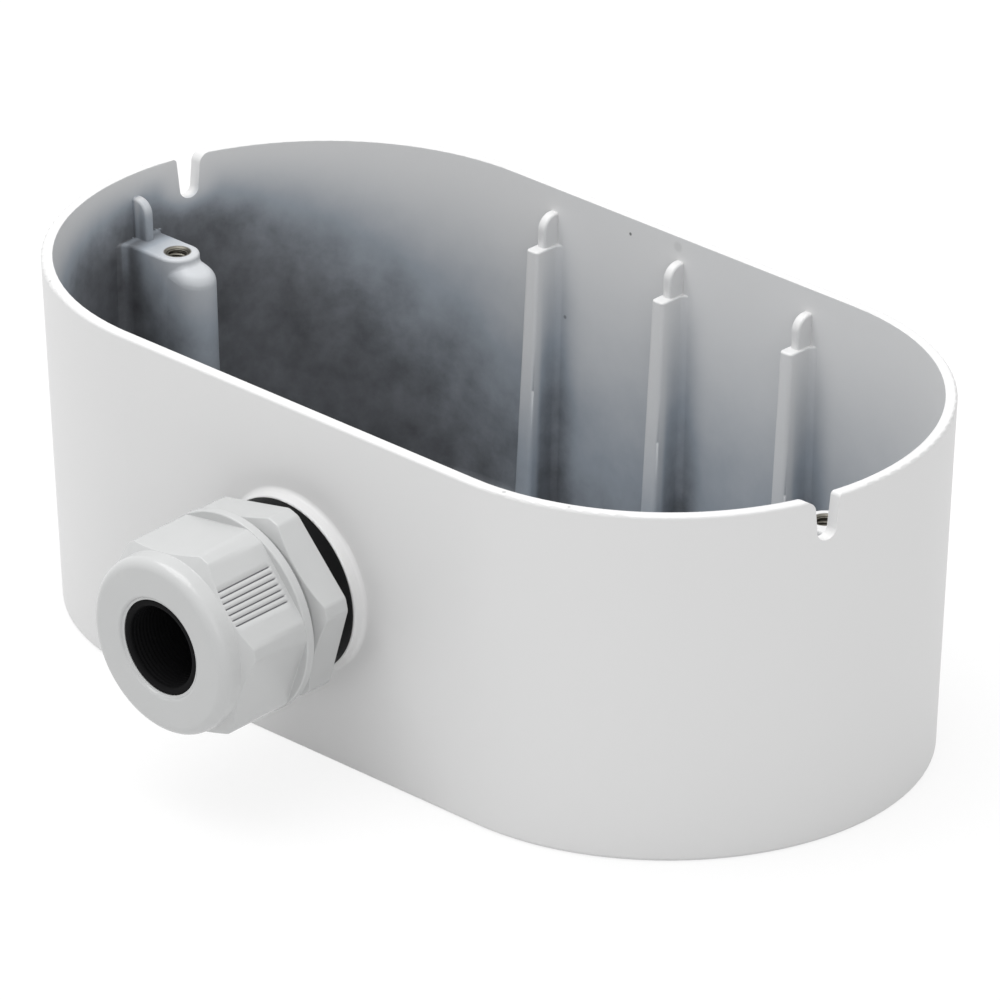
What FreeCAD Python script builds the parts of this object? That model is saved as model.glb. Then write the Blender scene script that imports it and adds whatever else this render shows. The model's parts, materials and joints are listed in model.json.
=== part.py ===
import FreeCAD, Part

import math
import os

from FreeCAD import Placement, Rotation, Vector

os.makedirs("parts", exist_ok=True)

# All lengths are in millimetres and all angles in degrees.
# Origin: middle of the rear face, which lies against the wall the box is fixed to.
# +Z points out of the open side, +X runs along the box, and the cable gland is on the -Y wall.

# Cup
OVERALL_LENGTH = 184.0
OVERALL_WIDTH = 100.0
OVERALL_HEIGHT = 66.8
WALL = 2.1
FLOOR = 3.0
WALL_DRAFT = 2.28
RIM_OUTER_ROUND = 0.45
RIM_INNER_ROUND = 0.12
FOOT_ROUND = 0.8
FLOOR_ROUND = 2.5

# Stepped ribs on the long walls
RIB_PITCH = 31.0
RIB_WIDTH = 2.9
RIB_DEPTH = 5.7
RIB_SIDE_DRAFT = 0.5
RIB_FRONT_DRAFT = 1.1
RIB_CORNER_ROUND = 0.8
RIB_ROOT_ROUND = 1.3
RIB_TOP_ROUND = 0.35
RIB_TOP_BELOW_RIM = 10.5
PIP_WIDTH = 1.9
PIP_DEPTH = 3.4
PIP_TOP_BELOW_RIM = 4.5
PIP_TOP_ROUND = 2.9
PIP_EDGE_ROUND = 0.5
PIP_FOOT_SUNK = 1.0

# Screw bosses at the two ends, with their tapped holes for the camera's plate
CAMERA_SCREW_FROM_END = 12.8
CAMERA_SCREW_RADIUS = 2.0
CAMERA_SCREW_DEPTH = 14.0
CAMERA_SCREW_CHAMFER = 0.3
BOSS_SEAT_BELOW_RIM = 12.1
BOSS_HALF_WIDTH = 4.0
BOSS_NOSE_REACH = 8.4
BOSS_NOSE_DOME_RADIUS = 16.0
BOSS_NOSE_ROUND = 2.6
BOSS_NOSE_INSET = 0.2
BOSS_STEP = 1.4
BOSS_STEP_ROUND = 0.8
BOSS_EDGE_ROUND = 0.6
BOSS_ROOT_ROUND = 2.1
BOSS_DRAFT = 1.2

# U-shaped notches in the rim
NOTCH_OFFSET = 11.8
NOTCH_WIDTH = 4.6
NOTCH_DEPTH = 8.1
NOTCH_SIDE_DRAFT = 3.0
NOTCH_WIDE_ROUND = 2.2
NOTCH_TIGHT_ROUND = 0.8

# Holes in the floor for the wall screws
WALL_SCREW_SPACING_X = 110.0
WALL_SCREW_SPACING_Y = 54.0
WALL_SCREW_RADIUS = 2.6
WALL_SCREW_PAD_RADIUS = 6.5
WALL_SCREW_PAD_HEIGHT = 1.6
WALL_SCREW_PAD_ROUND = 0.6

# Round pad on the wall, which the gland is screwed against
PAD_RADIUS = 16.2
PAD_HEIGHT = 2.1
PAD_DRAFT = 12.0
PAD_EDGE_ROUND = 0.4
PAD_ROOT_ROUND = 0.9

# Cable gland, metric size 25
THREAD_RADIUS = 12.4
THREAD_CLEARANCE = 0.1
SEAT_CLEARANCE = 0.2
HEXAGON_ACROSS_FLATS = 33.0
HEXAGON_CORNER_RADIUS = 18.4
HEXAGON_THICKNESS = 6.5
HEXAGON_CHAMFER = 1.4
HEXAGON_CHAMFER_REACH = 2.2
HEXAGON_EDGE_BREAK = 0.3
BODY_TURN = 11.5
GASKET_RADIUS = 16.1
GASKET_THICKNESS = 3.4
GASKET_EDGE_ROUND = 0.5
BODY_BORE_RADIUS = 9.6
THREAD_BEYOND_LOCK_NUT = 3.0
THREAD_TIP_CHAMFER = 0.8

# Clamping end of the gland's body
NECK_RADIUS = 14.7
NECK_LENGTH = 8.0
CLAW_RADIUS = 13.4
CLAW_TIP_RADIUS = 12.0
CLAW_WALL = 1.8
CLAW_LENGTH = 5.5
CLAW_TIP_LENGTH = 2.5
CLAW_COUNT = 10
CLAW_SLOT_WIDTH = 1.1
SEAL_POCKET_ABOVE_HEXAGON = 5.6

# Rubber bush
SEAL_BORE_RADIUS = 7.5
SEAL_CLEARANCE = 0.3
SEAL_TRAVEL_ROOM = 2.0
SEAL_NOSE_BELOW_FACE = 0.6
SEAL_EDGE_ROUND = 0.5

# Dome nut
NUT_GAP = 2.2
NUT_TURN = 8.5
COLLAR_RADIUS = 18.65
COLLAR_WIDTH = 1.8
COLLAR_EDGE_ROUND = 0.4
NUT_ACROSS_FLATS = 33.0
NUT_FLAT_DRAFT = 1.5
NUT_CORNER_RADIUS = 18.5
NUT_FLAT_LENGTH = 12.1
SHOULDER_RISE = 1.5
DOME_RADIUS = 16.4
DOME_STRAIGHT = 1.4
DOME_ROUND = 2.6
NUT_OPENING_RADIUS = 9.0
NUT_OPENING_ROUND = 0.7
NUT_BORE_CLEARANCE = 0.1
NUT_BORE_LENGTH = 9.8
NUT_CONE_STEP = 0.4
NUT_FACE_LAND = 1.6
GROOVE_COUNT = 7
GROOVE_PITCH = 1.1
GROOVE_WIDTH = 0.32
GROOVE_DEPTH = 0.3
GROOVE_START_ABOVE_COLLAR = 0.9
GROOVED_FLATS = 3

# Lock nut inside the cup
LOCK_NUT_ACROSS_FLATS = 32.0
LOCK_NUT_THICKNESS = 6.0
LOCK_NUT_CORNER_RADIUS = 18.1
LOCK_NUT_CHAMFER = 1.0
LOCK_NUT_TURN = 4.0

# Values that follow from the sizes above
END_RADIUS = OVERALL_WIDTH / 2
HALF_STRAIGHT = (OVERALL_LENGTH - OVERALL_WIDTH) / 2
CAMERA_SCREW_X = OVERALL_LENGTH / 2 - CAMERA_SCREW_FROM_END
RIB_TOP = OVERALL_HEIGHT - RIB_TOP_BELOW_RIM
PIP_TOP = OVERALL_HEIGHT - PIP_TOP_BELOW_RIM
BOSS_TOP = OVERALL_HEIGHT - BOSS_SEAT_BELOW_RIM
GLAND_HEIGHT = OVERALL_HEIGHT / 2
SIXTH_TURN = 60.0
UP = Vector(0, 0, 1)

# How far a piece of the casting runs into its neighbour, how far a cutter runs past what it cuts,
# and how near two sizes are when they count as the same
SUNK = 0.05
OVERRUN = 5.0
SAME = 0.01

# Points looked at along an edge to tell which face it runs round
BOSS_END_SAMPLES = 9

# Stations along the gland's axis, counted outwards from the wall's outside
HEXAGON_REAR = PAD_HEIGHT + GASKET_THICKNESS
HEXAGON_FRONT = HEXAGON_REAR + HEXAGON_THICKNESS
NECK_END = HEXAGON_FRONT + NECK_LENGTH
CLAW_END = NECK_END + CLAW_LENGTH
SEAL_POCKET = HEXAGON_FRONT + SEAL_POCKET_ABOVE_HEXAGON
NUT_REAR = HEXAGON_FRONT + NUT_GAP
COLLAR_FRONT = NUT_REAR + COLLAR_WIDTH
SHOULDER = COLLAR_FRONT + NUT_FLAT_LENGTH
DOME_START = SHOULDER + SHOULDER_RISE
NUT_FACE = DOME_START + DOME_STRAIGHT + DOME_ROUND
NUT_CONE_START = NUT_REAR + NUT_BORE_LENGTH
NUT_CONE_END = NUT_FACE - NUT_FACE_LAND
NUT_BORE_RADIUS = NECK_RADIUS + NUT_BORE_CLEARANCE
NUT_CONE_RADIUS = NUT_BORE_RADIUS - NUT_CONE_STEP
CLAW_BORE_RADIUS = CLAW_RADIUS - CLAW_WALL
THREAD_TIP = -WALL - LOCK_NUT_THICKNESS - THREAD_BEYOND_LOCK_NUT


def rise(angle, length):
    """How far a face that leans by an angle moves sideways over a length."""
    return length * math.tan(math.radians(angle))


def outer_radius(z):
    """Radius of the cup's ends, and half its width, at a height."""
    return END_RADIUS - rise(WALL_DRAFT, OVERALL_HEIGHT - z)


def inner_radius(z):
    return outer_radius(z) - WALL


def polar(radius, angle):
    turn = math.radians(angle)
    return Vector(radius * math.cos(turn), radius * math.sin(turn), 0)


def line(start, end):
    return Part.LineSegment(start, end).toShape()


def arc(start, middle, end):
    return Part.Arc(start, middle, end).toShape()


def corner_arc(start, corner, end):
    """Quarter-like arc that leaves start and reaches end, bulging towards the corner point."""
    half = math.sqrt(0.5)
    middle = corner + ((start - corner) + (end - corner)) * (1 - half)
    return arc(start, middle, end)


def turned(points):
    """Solid of revolution about Z from a closed outline of (radius, height) points."""
    edges = outline_edges([Vector(radius, 0, z) for radius, z in points])
    return Part.Face(Part.Wire(edges)).revolve(Vector(0, 0, 0), UP, 360)


def outline_edges(points):
    closed = points + points[:1]
    return [line(a, b) for a, b in zip(closed, closed[1:])]


def prism(points, direction):
    """Straight extrusion of a closed outline of straight lines."""
    return Part.Face(Part.Wire(outline_edges(points))).extrude(direction)


def loft(low_wire, high_wire):
    return Part.makeLoft([low_wire, high_wire], True, True)


def hexagon_wire(across_flats, z, turn):
    """Regular hexagon with a corner at the given angle."""
    corner = across_flats / 2 / math.cos(math.radians(SIXTH_TURN / 2))
    points = [polar(corner, turn + SIXTH_TURN * step) + UP * z for step in range(6)]
    return Part.Wire(outline_edges(points))


def circles_at(shape, radius, z):
    """Round edges of a turned shape that have a given radius and height."""
    return [edge for edge in shape.Edges
            if isinstance(edge.Curve, Part.Circle)
            and abs(edge.Curve.Radius - radius) < SAME
            and abs(edge.Curve.Center.z - z) < SAME]


def edges_at_height(shape, z):
    return [edge for edge in shape.Edges
            if edge.BoundBox.ZLength < SAME
            and abs(edge.CenterOfMass.z - z) < SAME]


def stadium_solid(low_radius, high_radius, low_z, high_z):
    """Block with a stadium plan whose walls lean: a half cone at each end and a wedge between."""
    height = high_z - low_z
    ends = []
    for side in (-1, 1):
        end = Part.makeCone(low_radius, high_radius, height, Vector(0, 0, low_z), UP, 180)
        end.rotate(Vector(0, 0, 0), UP, -90 * side)
        end.translate(Vector(HALF_STRAIGHT * side, 0, 0))
        ends.append(end)
    section = [Vector(-HALF_STRAIGHT, -low_radius, low_z), Vector(-HALF_STRAIGHT, low_radius, low_z),
               Vector(-HALF_STRAIGHT, high_radius, high_z), Vector(-HALF_STRAIGHT, -high_radius, high_z)]
    middle = prism(section, Vector(2 * HALF_STRAIGHT, 0, 0))
    return middle.fuse(ends).removeSplitter()


def cup_shell():
    """Drafted stadium cup with rounded rim and foot."""
    outside = stadium_solid(outer_radius(0), outer_radius(OVERALL_HEIGHT), 0, OVERALL_HEIGHT)
    outside = outside.makeFillet(FOOT_ROUND, edges_at_height(outside, 0))
    outside = outside.makeFillet(RIM_OUTER_ROUND, edges_at_height(outside, OVERALL_HEIGHT))
    inside = stadium_solid(inner_radius(FLOOR), inner_radius(OVERALL_HEIGHT), FLOOR, OVERALL_HEIGHT)
    inside = inside.makeFillet(FLOOR_ROUND, edges_at_height(inside, FLOOR))
    shell = outside.cut(inside)
    inner_reach = inner_radius(OVERALL_HEIGHT) + SAME
    inner_rim = [edge for edge in edges_at_height(shell, OVERALL_HEIGHT)
                 if edge.BoundBox.YMax < inner_reach and edge.BoundBox.YMin > -inner_reach]
    return shell.makeFillet(RIM_INNER_ROUND, inner_rim)


def rib_section(z):
    """Plan of a rib on the +Y wall at a height: rounded nose, and root curves sunk in the wall."""
    wall_y = inner_radius(z)
    half = RIB_WIDTH / 2 + rise(RIB_SIDE_DRAFT, RIB_TOP - z)
    nose_y = wall_y - RIB_DEPTH - rise(RIB_FRONT_DRAFT, RIB_TOP - z)
    root_y = wall_y + SUNK
    back_y = wall_y + WALL / 2
    edges = []
    right_side = [Vector(half + RIB_ROOT_ROUND, back_y, z), Vector(half + RIB_ROOT_ROUND, root_y, z),
                  Vector(half, root_y - RIB_ROOT_ROUND, z), Vector(half, nose_y + RIB_CORNER_ROUND, z),
                  Vector(half - RIB_CORNER_ROUND, nose_y, z)]
    left_side = [Vector(-point.x, point.y, z) for point in right_side]
    edges.append(line(right_side[0], right_side[1]))
    edges.append(corner_arc(right_side[1], Vector(half, root_y, z), right_side[2]))
    edges.append(line(right_side[2], right_side[3]))
    edges.append(corner_arc(right_side[3], Vector(half, nose_y, z), right_side[4]))
    edges.append(line(right_side[4], left_side[4]))
    edges.append(corner_arc(left_side[4], Vector(-half, nose_y, z), left_side[3]))
    edges.append(line(left_side[3], left_side[2]))
    edges.append(corner_arc(left_side[2], Vector(-half, root_y, z), left_side[1]))
    edges.append(line(left_side[1], left_side[0]))
    edges.append(line(left_side[0], right_side[0]))
    return Part.Wire(edges)


def pip(wall_distance, foot_z):
    """Small upright rib with a rounded top corner, standing in from a wall that faces -Y."""
    low_wall = wall_distance(foot_z)
    high_wall = wall_distance(PIP_TOP)
    back = WALL / 2
    low_back = Vector(-PIP_WIDTH / 2, low_wall + back, foot_z)
    low_nose = Vector(-PIP_WIDTH / 2, low_wall - PIP_DEPTH, foot_z)
    bend_start = Vector(-PIP_WIDTH / 2, wall_distance(PIP_TOP - PIP_TOP_ROUND) - PIP_DEPTH,
                        PIP_TOP - PIP_TOP_ROUND)
    bend_end = Vector(-PIP_WIDTH / 2, bend_start.y + PIP_TOP_ROUND, PIP_TOP)
    high_back = Vector(-PIP_WIDTH / 2, high_wall + back, PIP_TOP)
    corner = Vector(-PIP_WIDTH / 2, bend_start.y, PIP_TOP)
    edges = [line(low_back, low_nose), line(low_nose, bend_start),
             corner_arc(bend_start, corner, bend_end), line(bend_end, high_back),
             line(high_back, low_back)]
    solid = Part.Face(Part.Wire(edges)).extrude(Vector(PIP_WIDTH, 0, 0))
    long_edges = [edge for edge in solid.Edges
                  if edge.BoundBox.XLength < SUNK
                  and edge.CenterOfMass.y < high_wall - PIP_DEPTH + PIP_TOP_ROUND
                  and edge.BoundBox.ZLength > SUNK]
    return solid.makeFillet(PIP_EDGE_ROUND, long_edges)


def stepped_rib():
    """Rib on the +Y wall with a narrow pip standing on its softened shoulder."""
    body = loft(rib_section(FLOOR - SUNK), rib_section(RIB_TOP))
    shoulder_edges = [edge for edge in edges_at_height(body, RIB_TOP)
                      if edge.CenterOfMass.y < inner_radius(RIB_TOP) - RIB_ROOT_ROUND]
    body = body.makeFillet(RIB_TOP_ROUND, shoulder_edges)
    return body.fuse(pip(inner_radius, RIB_TOP - PIP_FOOT_SUNK))


def rib_places():
    """Three ribs on the far wall; the gland wall has no middle rib, where the lock nut sits."""
    places = [(step * RIB_PITCH, 0) for step in (-1, 0, 1)]
    places += [(step * RIB_PITCH, 180) for step in (-1, 1)]
    return places


def boss_half_width(z):
    return BOSS_HALF_WIDTH + rise(BOSS_DRAFT, BOSS_TOP - z)


def seat_plan(z):
    """Plan of the boss under its seat: root curves at the end wall, and a round end about the screw."""
    half = boss_half_width(z)
    wide = half + BOSS_ROOT_ROUND
    root_x = HALF_STRAIGHT + math.sqrt(inner_radius(z) ** 2 - wide ** 2) + SUNK
    back_x = HALF_STRAIGHT + inner_radius(z) + WALL / 2
    far = [Vector(back_x, wide, z), Vector(root_x, wide, z), Vector(root_x, half, z),
           Vector(root_x - BOSS_ROOT_ROUND, half, z), Vector(CAMERA_SCREW_X, half, z)]
    near = [Vector(point.x, -point.y, z) for point in far]
    return Part.Wire([
        line(far[0], far[1]),
        corner_arc(far[1], far[2], far[3]),
        line(far[3], far[4]),
        arc(far[4], Vector(CAMERA_SCREW_X - half, 0, z), near[4]),
        line(near[4], near[3]),
        corner_arc(near[3], near[2], near[1]),
        line(near[1], near[0]),
        line(near[0], far[0])])


def nose_plan(z):
    """Plan of the boss's nose, from inside the seat to its round end. It is a little narrower than the
    seat, so that the seat's round end meets its sides at an angle and the step's round has a clear end."""
    half = boss_half_width(z) - BOSS_NOSE_INSET
    nose_x = CAMERA_SCREW_X - BOSS_NOSE_REACH + BOSS_HALF_WIDTH
    back_x = CAMERA_SCREW_X + BOSS_HALF_WIDTH / 2
    return Part.Wire([
        line(Vector(back_x, half, z), Vector(nose_x, half, z)),
        arc(Vector(nose_x, half, z), Vector(nose_x - half, 0, z), Vector(nose_x, -half, z)),
        line(Vector(nose_x, -half, z), Vector(back_x, -half, z)),
        line(Vector(back_x, -half, z), Vector(back_x, half, z))])


def boss_nose():
    """Lower end of the boss beyond the seat: domed about the screw's axis, with a soft edge all about."""
    foot_z = BOSS_TOP - BOSS_STEP
    drop = BOSS_NOSE_DOME_RADIUS - math.sqrt(BOSS_NOSE_DOME_RADIUS ** 2 - BOSS_HALF_WIDTH ** 2)
    centre = Vector(CAMERA_SCREW_X, 0, foot_z + drop - BOSS_NOSE_DOME_RADIUS)
    dome = Part.makeCylinder(BOSS_NOSE_DOME_RADIUS, centre.z, Vector(centre.x, centre.y, 0), UP)
    dome = dome.fuse(Part.makeSphere(BOSS_NOSE_DOME_RADIUS, centre))
    nose = loft(nose_plan(FLOOR - SUNK), nose_plan(BOSS_TOP)).common(dome)
    inside = CAMERA_SCREW_X + BOSS_HALF_WIDTH / 2 - SAME
    top_edges = [edge for edge in nose.Edges
                 if edge.CenterOfMass.x < inside
                 and all(abs(vertex.Point.distanceToPoint(centre) - BOSS_NOSE_DOME_RADIUS) < SAME
                         for vertex in edge.Vertexes)]
    return nose.makeFillet(BOSS_NOSE_ROUND, top_edges)


def seat_foot_edges(boss):
    """Where the seat's round end rises out of the nose."""
    lowest = BOSS_TOP - 2 * BOSS_NOSE_ROUND
    highest = BOSS_TOP - BOSS_EDGE_ROUND - SAME

    def on_seat_end(point):
        from_screw = math.hypot(point.x - CAMERA_SCREW_X, point.y)
        return lowest < point.z < highest and abs(from_screw - boss_half_width(point.z)) < SUNK

    return [edge for edge in boss.Edges
            if edge.BoundBox.ZLength < BOSS_NOSE_ROUND
            and all(on_seat_end(point) for point in edge.discretize(BOSS_END_SAMPLES))]


def end_boss():
    """Screw boss at the +X end: the seat with its pip, and the lower nose joined to it by a soft step."""
    seat = loft(seat_plan(FLOOR - SUNK), seat_plan(BOSS_TOP))
    root_start = HALF_STRAIGHT + inner_radius(BOSS_TOP) - BOSS_ROOT_ROUND - BOSS_EDGE_ROUND
    seat_edges = [edge for edge in edges_at_height(seat, BOSS_TOP) if edge.CenterOfMass.x < root_start]
    seat = seat.makeFillet(BOSS_EDGE_ROUND, seat_edges)
    boss = seat.fuse(boss_nose())
    boss = boss.makeFillet(BOSS_STEP_ROUND, seat_foot_edges(boss))
    end_pip = pip(lambda z: HALF_STRAIGHT + inner_radius(z), BOSS_TOP - BOSS_EDGE_ROUND)
    end_pip.rotate(Vector(0, 0, 0), UP, -90)
    return boss.fuse(end_pip)


def camera_screw_hole():
    """Blind tapped hole with a chamfered mouth at the +X end."""
    centre = Vector(CAMERA_SCREW_X, 0, BOSS_TOP - CAMERA_SCREW_DEPTH)
    bore = Part.makeCylinder(CAMERA_SCREW_RADIUS, CAMERA_SCREW_DEPTH + SUNK, centre, UP)
    mouth = Part.makeCone(CAMERA_SCREW_RADIUS, CAMERA_SCREW_RADIUS + CAMERA_SCREW_CHAMFER,
                          CAMERA_SCREW_CHAMFER, centre + UP * (CAMERA_SCREW_DEPTH - CAMERA_SCREW_CHAMFER), UP)
    return bore.fuse(mouth)


def rim_notch():
    """U-shaped cutter for the +X end: round bottom, leaning sides and two unlike top corners."""
    near_x = HALF_STRAIGHT + inner_radius(0) - OVERRUN
    rim = OVERALL_HEIGHT
    centre_y = -NOTCH_OFFSET
    half = NOTCH_WIDTH / 2
    low_half = half - rise(NOTCH_SIDE_DRAFT, NOTCH_DEPTH)
    low_z = rim - NOTCH_DEPTH + low_half

    def point(y, z):
        return Vector(near_x, centre_y + y, z)

    wide_out = point(-half - NOTCH_WIDE_ROUND, rim)
    tight_out = point(half + NOTCH_TIGHT_ROUND, rim)
    edges = [line(point(-half - NOTCH_WIDE_ROUND, rim + OVERRUN), wide_out),
             corner_arc(wide_out, point(-half, rim), point(-half, rim - NOTCH_WIDE_ROUND)),
             line(point(-half, rim - NOTCH_WIDE_ROUND), point(-low_half, low_z)),
             arc(point(-low_half, low_z), point(0, rim - NOTCH_DEPTH), point(low_half, low_z)),
             line(point(low_half, low_z), point(half, rim - NOTCH_TIGHT_ROUND)),
             corner_arc(point(half, rim - NOTCH_TIGHT_ROUND), point(half, rim), tight_out),
             line(tight_out, point(half + NOTCH_TIGHT_ROUND, rim + OVERRUN)),
             line(point(half + NOTCH_TIGHT_ROUND, rim + OVERRUN),
                  point(-half - NOTCH_WIDE_ROUND, rim + OVERRUN))]
    return Part.Face(Part.Wire(edges)).extrude(Vector(WALL + 2 * OVERRUN, 0, 0))


def wall_screw_places():
    return [Vector(sx * WALL_SCREW_SPACING_X / 2, sy * WALL_SCREW_SPACING_Y / 2, 0)
            for sx in (-1, 1) for sy in (-1, 1)]


def wall_screw_pad():
    """Raised round pad on the floor round a wall screw's hole."""
    height = FLOOR + WALL_SCREW_PAD_HEIGHT
    pad = Part.makeCylinder(WALL_SCREW_PAD_RADIUS, height - FLOOR / 2, Vector(0, 0, FLOOR / 2), UP)
    return pad.makeFillet(WALL_SCREW_PAD_ROUND, circles_at(pad, WALL_SCREW_PAD_RADIUS, height))


def gland_centre():
    """Point on the wall's outside where the gland's axis crosses it."""
    return Vector(0, -outer_radius(GLAND_HEIGHT), GLAND_HEIGHT)


def on_gland_axis(shape):
    """Move a piece from its own axis to the gland's, square to the leaning wall."""
    placed = shape.copy()
    placed.Placement = Placement(gland_centre(), Rotation(Vector(1, 0, 0), 90 + WALL_DRAFT))
    return placed


def gland_pad():
    """Round pad with a leaning side that stands out of the wall."""
    root_z = -WALL / 2
    root_radius = PAD_RADIUS + rise(PAD_DRAFT, PAD_HEIGHT - root_z)
    pad = Part.makeCone(root_radius, PAD_RADIUS, PAD_HEIGHT - root_z, Vector(0, 0, root_z), UP)
    return pad.makeFillet(PAD_EDGE_ROUND, circles_at(pad, PAD_RADIUS, PAD_HEIGHT))


def pad_root_edges(shell):
    """The circle where the gland's pad meets the wall's outside."""
    root_radius = PAD_RADIUS + rise(PAD_DRAFT, PAD_HEIGHT)
    return [edge for edge in shell.Edges
            if isinstance(edge.Curve, Part.Circle)
            and abs(edge.Curve.Radius - root_radius) < SUNK
            and edge.Curve.Center.distanceToPoint(gland_centre()) < SUNK]


def housing():
    shell = cup_shell().fuse(on_gland_axis(gland_pad()))
    shell = shell.makeFillet(PAD_ROOT_ROUND, pad_root_edges(shell))
    additions = []
    for x, turn in rib_places():
        rib = stepped_rib()
        rib.translate(Vector(x, 0, 0))
        rib.rotate(Vector(0, 0, 0), UP, turn)
        additions.append(rib)
    for turn in (0, 180):
        boss = end_boss()
        boss.rotate(Vector(0, 0, 0), UP, turn)
        additions.append(boss)
    for place in wall_screw_places():
        pad = wall_screw_pad()
        pad.translate(place)
        additions.append(pad)
    shell = shell.fuse(additions)
    removals = []
    for turn in (0, 180):
        for cutter in (camera_screw_hole(), rim_notch()):
            cutter.rotate(Vector(0, 0, 0), UP, turn)
            removals.append(cutter)
    hole_length = FLOOR + WALL_SCREW_PAD_HEIGHT + 2 * OVERRUN
    for place in wall_screw_places():
        removals.append(Part.makeCylinder(WALL_SCREW_RADIUS, hole_length, place - UP * OVERRUN, UP))
    gland_hole = Part.makeCylinder(THREAD_RADIUS + SEAT_CLEARANCE, PAD_HEIGHT + WALL + 2 * OVERRUN,
                                   Vector(0, 0, -WALL - OVERRUN), UP)
    removals.append(on_gland_axis(gland_hole))
    return shell.cut(removals)


def gland_gasket():
    ring = turned([(THREAD_RADIUS + SEAT_CLEARANCE, PAD_HEIGHT), (GASKET_RADIUS, PAD_HEIGHT),
                   (GASKET_RADIUS, HEXAGON_REAR), (THREAD_RADIUS + SEAT_CLEARANCE, HEXAGON_REAR)])
    return ring.makeFillet(GASKET_EDGE_ROUND, circles_at(ring, GASKET_RADIUS, HEXAGON_REAR)
                           + circles_at(ring, GASKET_RADIUS, PAD_HEIGHT))


def gland_body():
    """Hexagon with a threaded shank behind it, and a threaded neck with clamping claws before it."""
    hexagon = loft(hexagon_wire(HEXAGON_ACROSS_FLATS, HEXAGON_REAR, BODY_TURN),
                   hexagon_wire(HEXAGON_ACROSS_FLATS, HEXAGON_FRONT, BODY_TURN))
    corner = HEXAGON_CORNER_RADIUS
    hexagon = hexagon.common(turned([
        (0, HEXAGON_REAR), (corner - HEXAGON_EDGE_BREAK, HEXAGON_REAR),
        (corner, HEXAGON_REAR + HEXAGON_EDGE_BREAK), (corner, HEXAGON_FRONT - HEXAGON_CHAMFER),
        (corner - HEXAGON_CHAMFER_REACH, HEXAGON_FRONT), (0, HEXAGON_FRONT)]))
    stem = turned([
        (0, THREAD_TIP), (THREAD_RADIUS - THREAD_TIP_CHAMFER, THREAD_TIP),
        (THREAD_RADIUS, THREAD_TIP + THREAD_TIP_CHAMFER), (THREAD_RADIUS, HEXAGON_REAR + SUNK),
        (NECK_RADIUS, HEXAGON_REAR + SUNK), (NECK_RADIUS, NECK_END),
        (CLAW_RADIUS, NECK_END), (CLAW_RADIUS, CLAW_END - CLAW_TIP_LENGTH),
        (CLAW_TIP_RADIUS, CLAW_END), (0, CLAW_END)])
    bore = turned([
        (0, THREAD_TIP - OVERRUN), (BODY_BORE_RADIUS, THREAD_TIP - OVERRUN),
        (BODY_BORE_RADIUS, SEAL_POCKET), (CLAW_BORE_RADIUS, SEAL_POCKET),
        (CLAW_BORE_RADIUS, CLAW_END + OVERRUN), (0, CLAW_END + OVERRUN)])
    slots = []
    for step in range(CLAW_COUNT):
        slot = Part.makeBox(CLAW_RADIUS + OVERRUN, CLAW_SLOT_WIDTH, CLAW_LENGTH + OVERRUN,
                            Vector(0, -CLAW_SLOT_WIDTH / 2, NECK_END))
        slot.rotate(Vector(0, 0, 0), UP, 360 / CLAW_COUNT * step)
        slots.append(slot)
    return hexagon.fuse(stem).cut(bore).cut(slots)


def gland_seal():
    """Rubber bush: it fills the claws, and its tapered nose reaches into the nut's opening."""
    rear = SEAL_POCKET + SEAL_TRAVEL_ROOM
    waist = CLAW_BORE_RADIUS - SEAL_CLEARANCE
    nose_radius = NUT_OPENING_RADIUS - SEAL_CLEARANCE
    cone_drop = (NUT_CONE_RADIUS - NUT_OPENING_RADIUS) / (NUT_CONE_END - NUT_CONE_START)
    sideways = SEAL_CLEARANCE * math.sqrt(1 + cone_drop ** 2)
    taper_start = NUT_CONE_START + (NUT_CONE_RADIUS - sideways - waist) / cone_drop
    taper_end = NUT_CONE_START + (NUT_CONE_RADIUS - sideways - nose_radius) / cone_drop
    face = NUT_FACE - SEAL_NOSE_BELOW_FACE
    bush = turned([(SEAL_BORE_RADIUS, rear), (waist, rear), (waist, taper_start),
                   (nose_radius, taper_end), (nose_radius, face), (SEAL_BORE_RADIUS, face)])
    return bush.makeFillet(SEAL_EDGE_ROUND, circles_at(bush, SEAL_BORE_RADIUS, face)
                           + circles_at(bush, SEAL_BORE_RADIUS, rear))


def nut_outside():
    """Collar, six leaning flats with curved corner strips, and the dome."""
    collar = turned([(0, NUT_REAR), (COLLAR_RADIUS, NUT_REAR), (COLLAR_RADIUS, COLLAR_FRONT),
                     (0, COLLAR_FRONT)])
    collar = collar.makeFillet(COLLAR_EDGE_ROUND, circles_at(collar, COLLAR_RADIUS, NUT_REAR)
                               + circles_at(collar, COLLAR_RADIUS, COLLAR_FRONT))
    rear_flats = NUT_ACROSS_FLATS + 2 * rise(NUT_FLAT_DRAFT, DOME_START - NUT_REAR)
    front_flats = NUT_ACROSS_FLATS - 2 * rise(NUT_FLAT_DRAFT, NUT_FACE - DOME_START)
    flats = loft(hexagon_wire(rear_flats, NUT_REAR, NUT_TURN), hexagon_wire(front_flats, NUT_FACE, NUT_TURN))
    strips = turned([(0, NUT_REAR), (NUT_CORNER_RADIUS, NUT_REAR), (NUT_CORNER_RADIUS, SHOULDER),
                     (DOME_RADIUS, DOME_START), (0, DOME_START)])
    dome = turned([(0, NUT_REAR), (DOME_RADIUS, NUT_REAR), (DOME_RADIUS, NUT_FACE), (0, NUT_FACE)])
    dome = dome.makeFillet(DOME_ROUND, circles_at(dome, DOME_RADIUS, NUT_FACE))
    return flats.common(strips).fuse([dome, collar])


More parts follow.
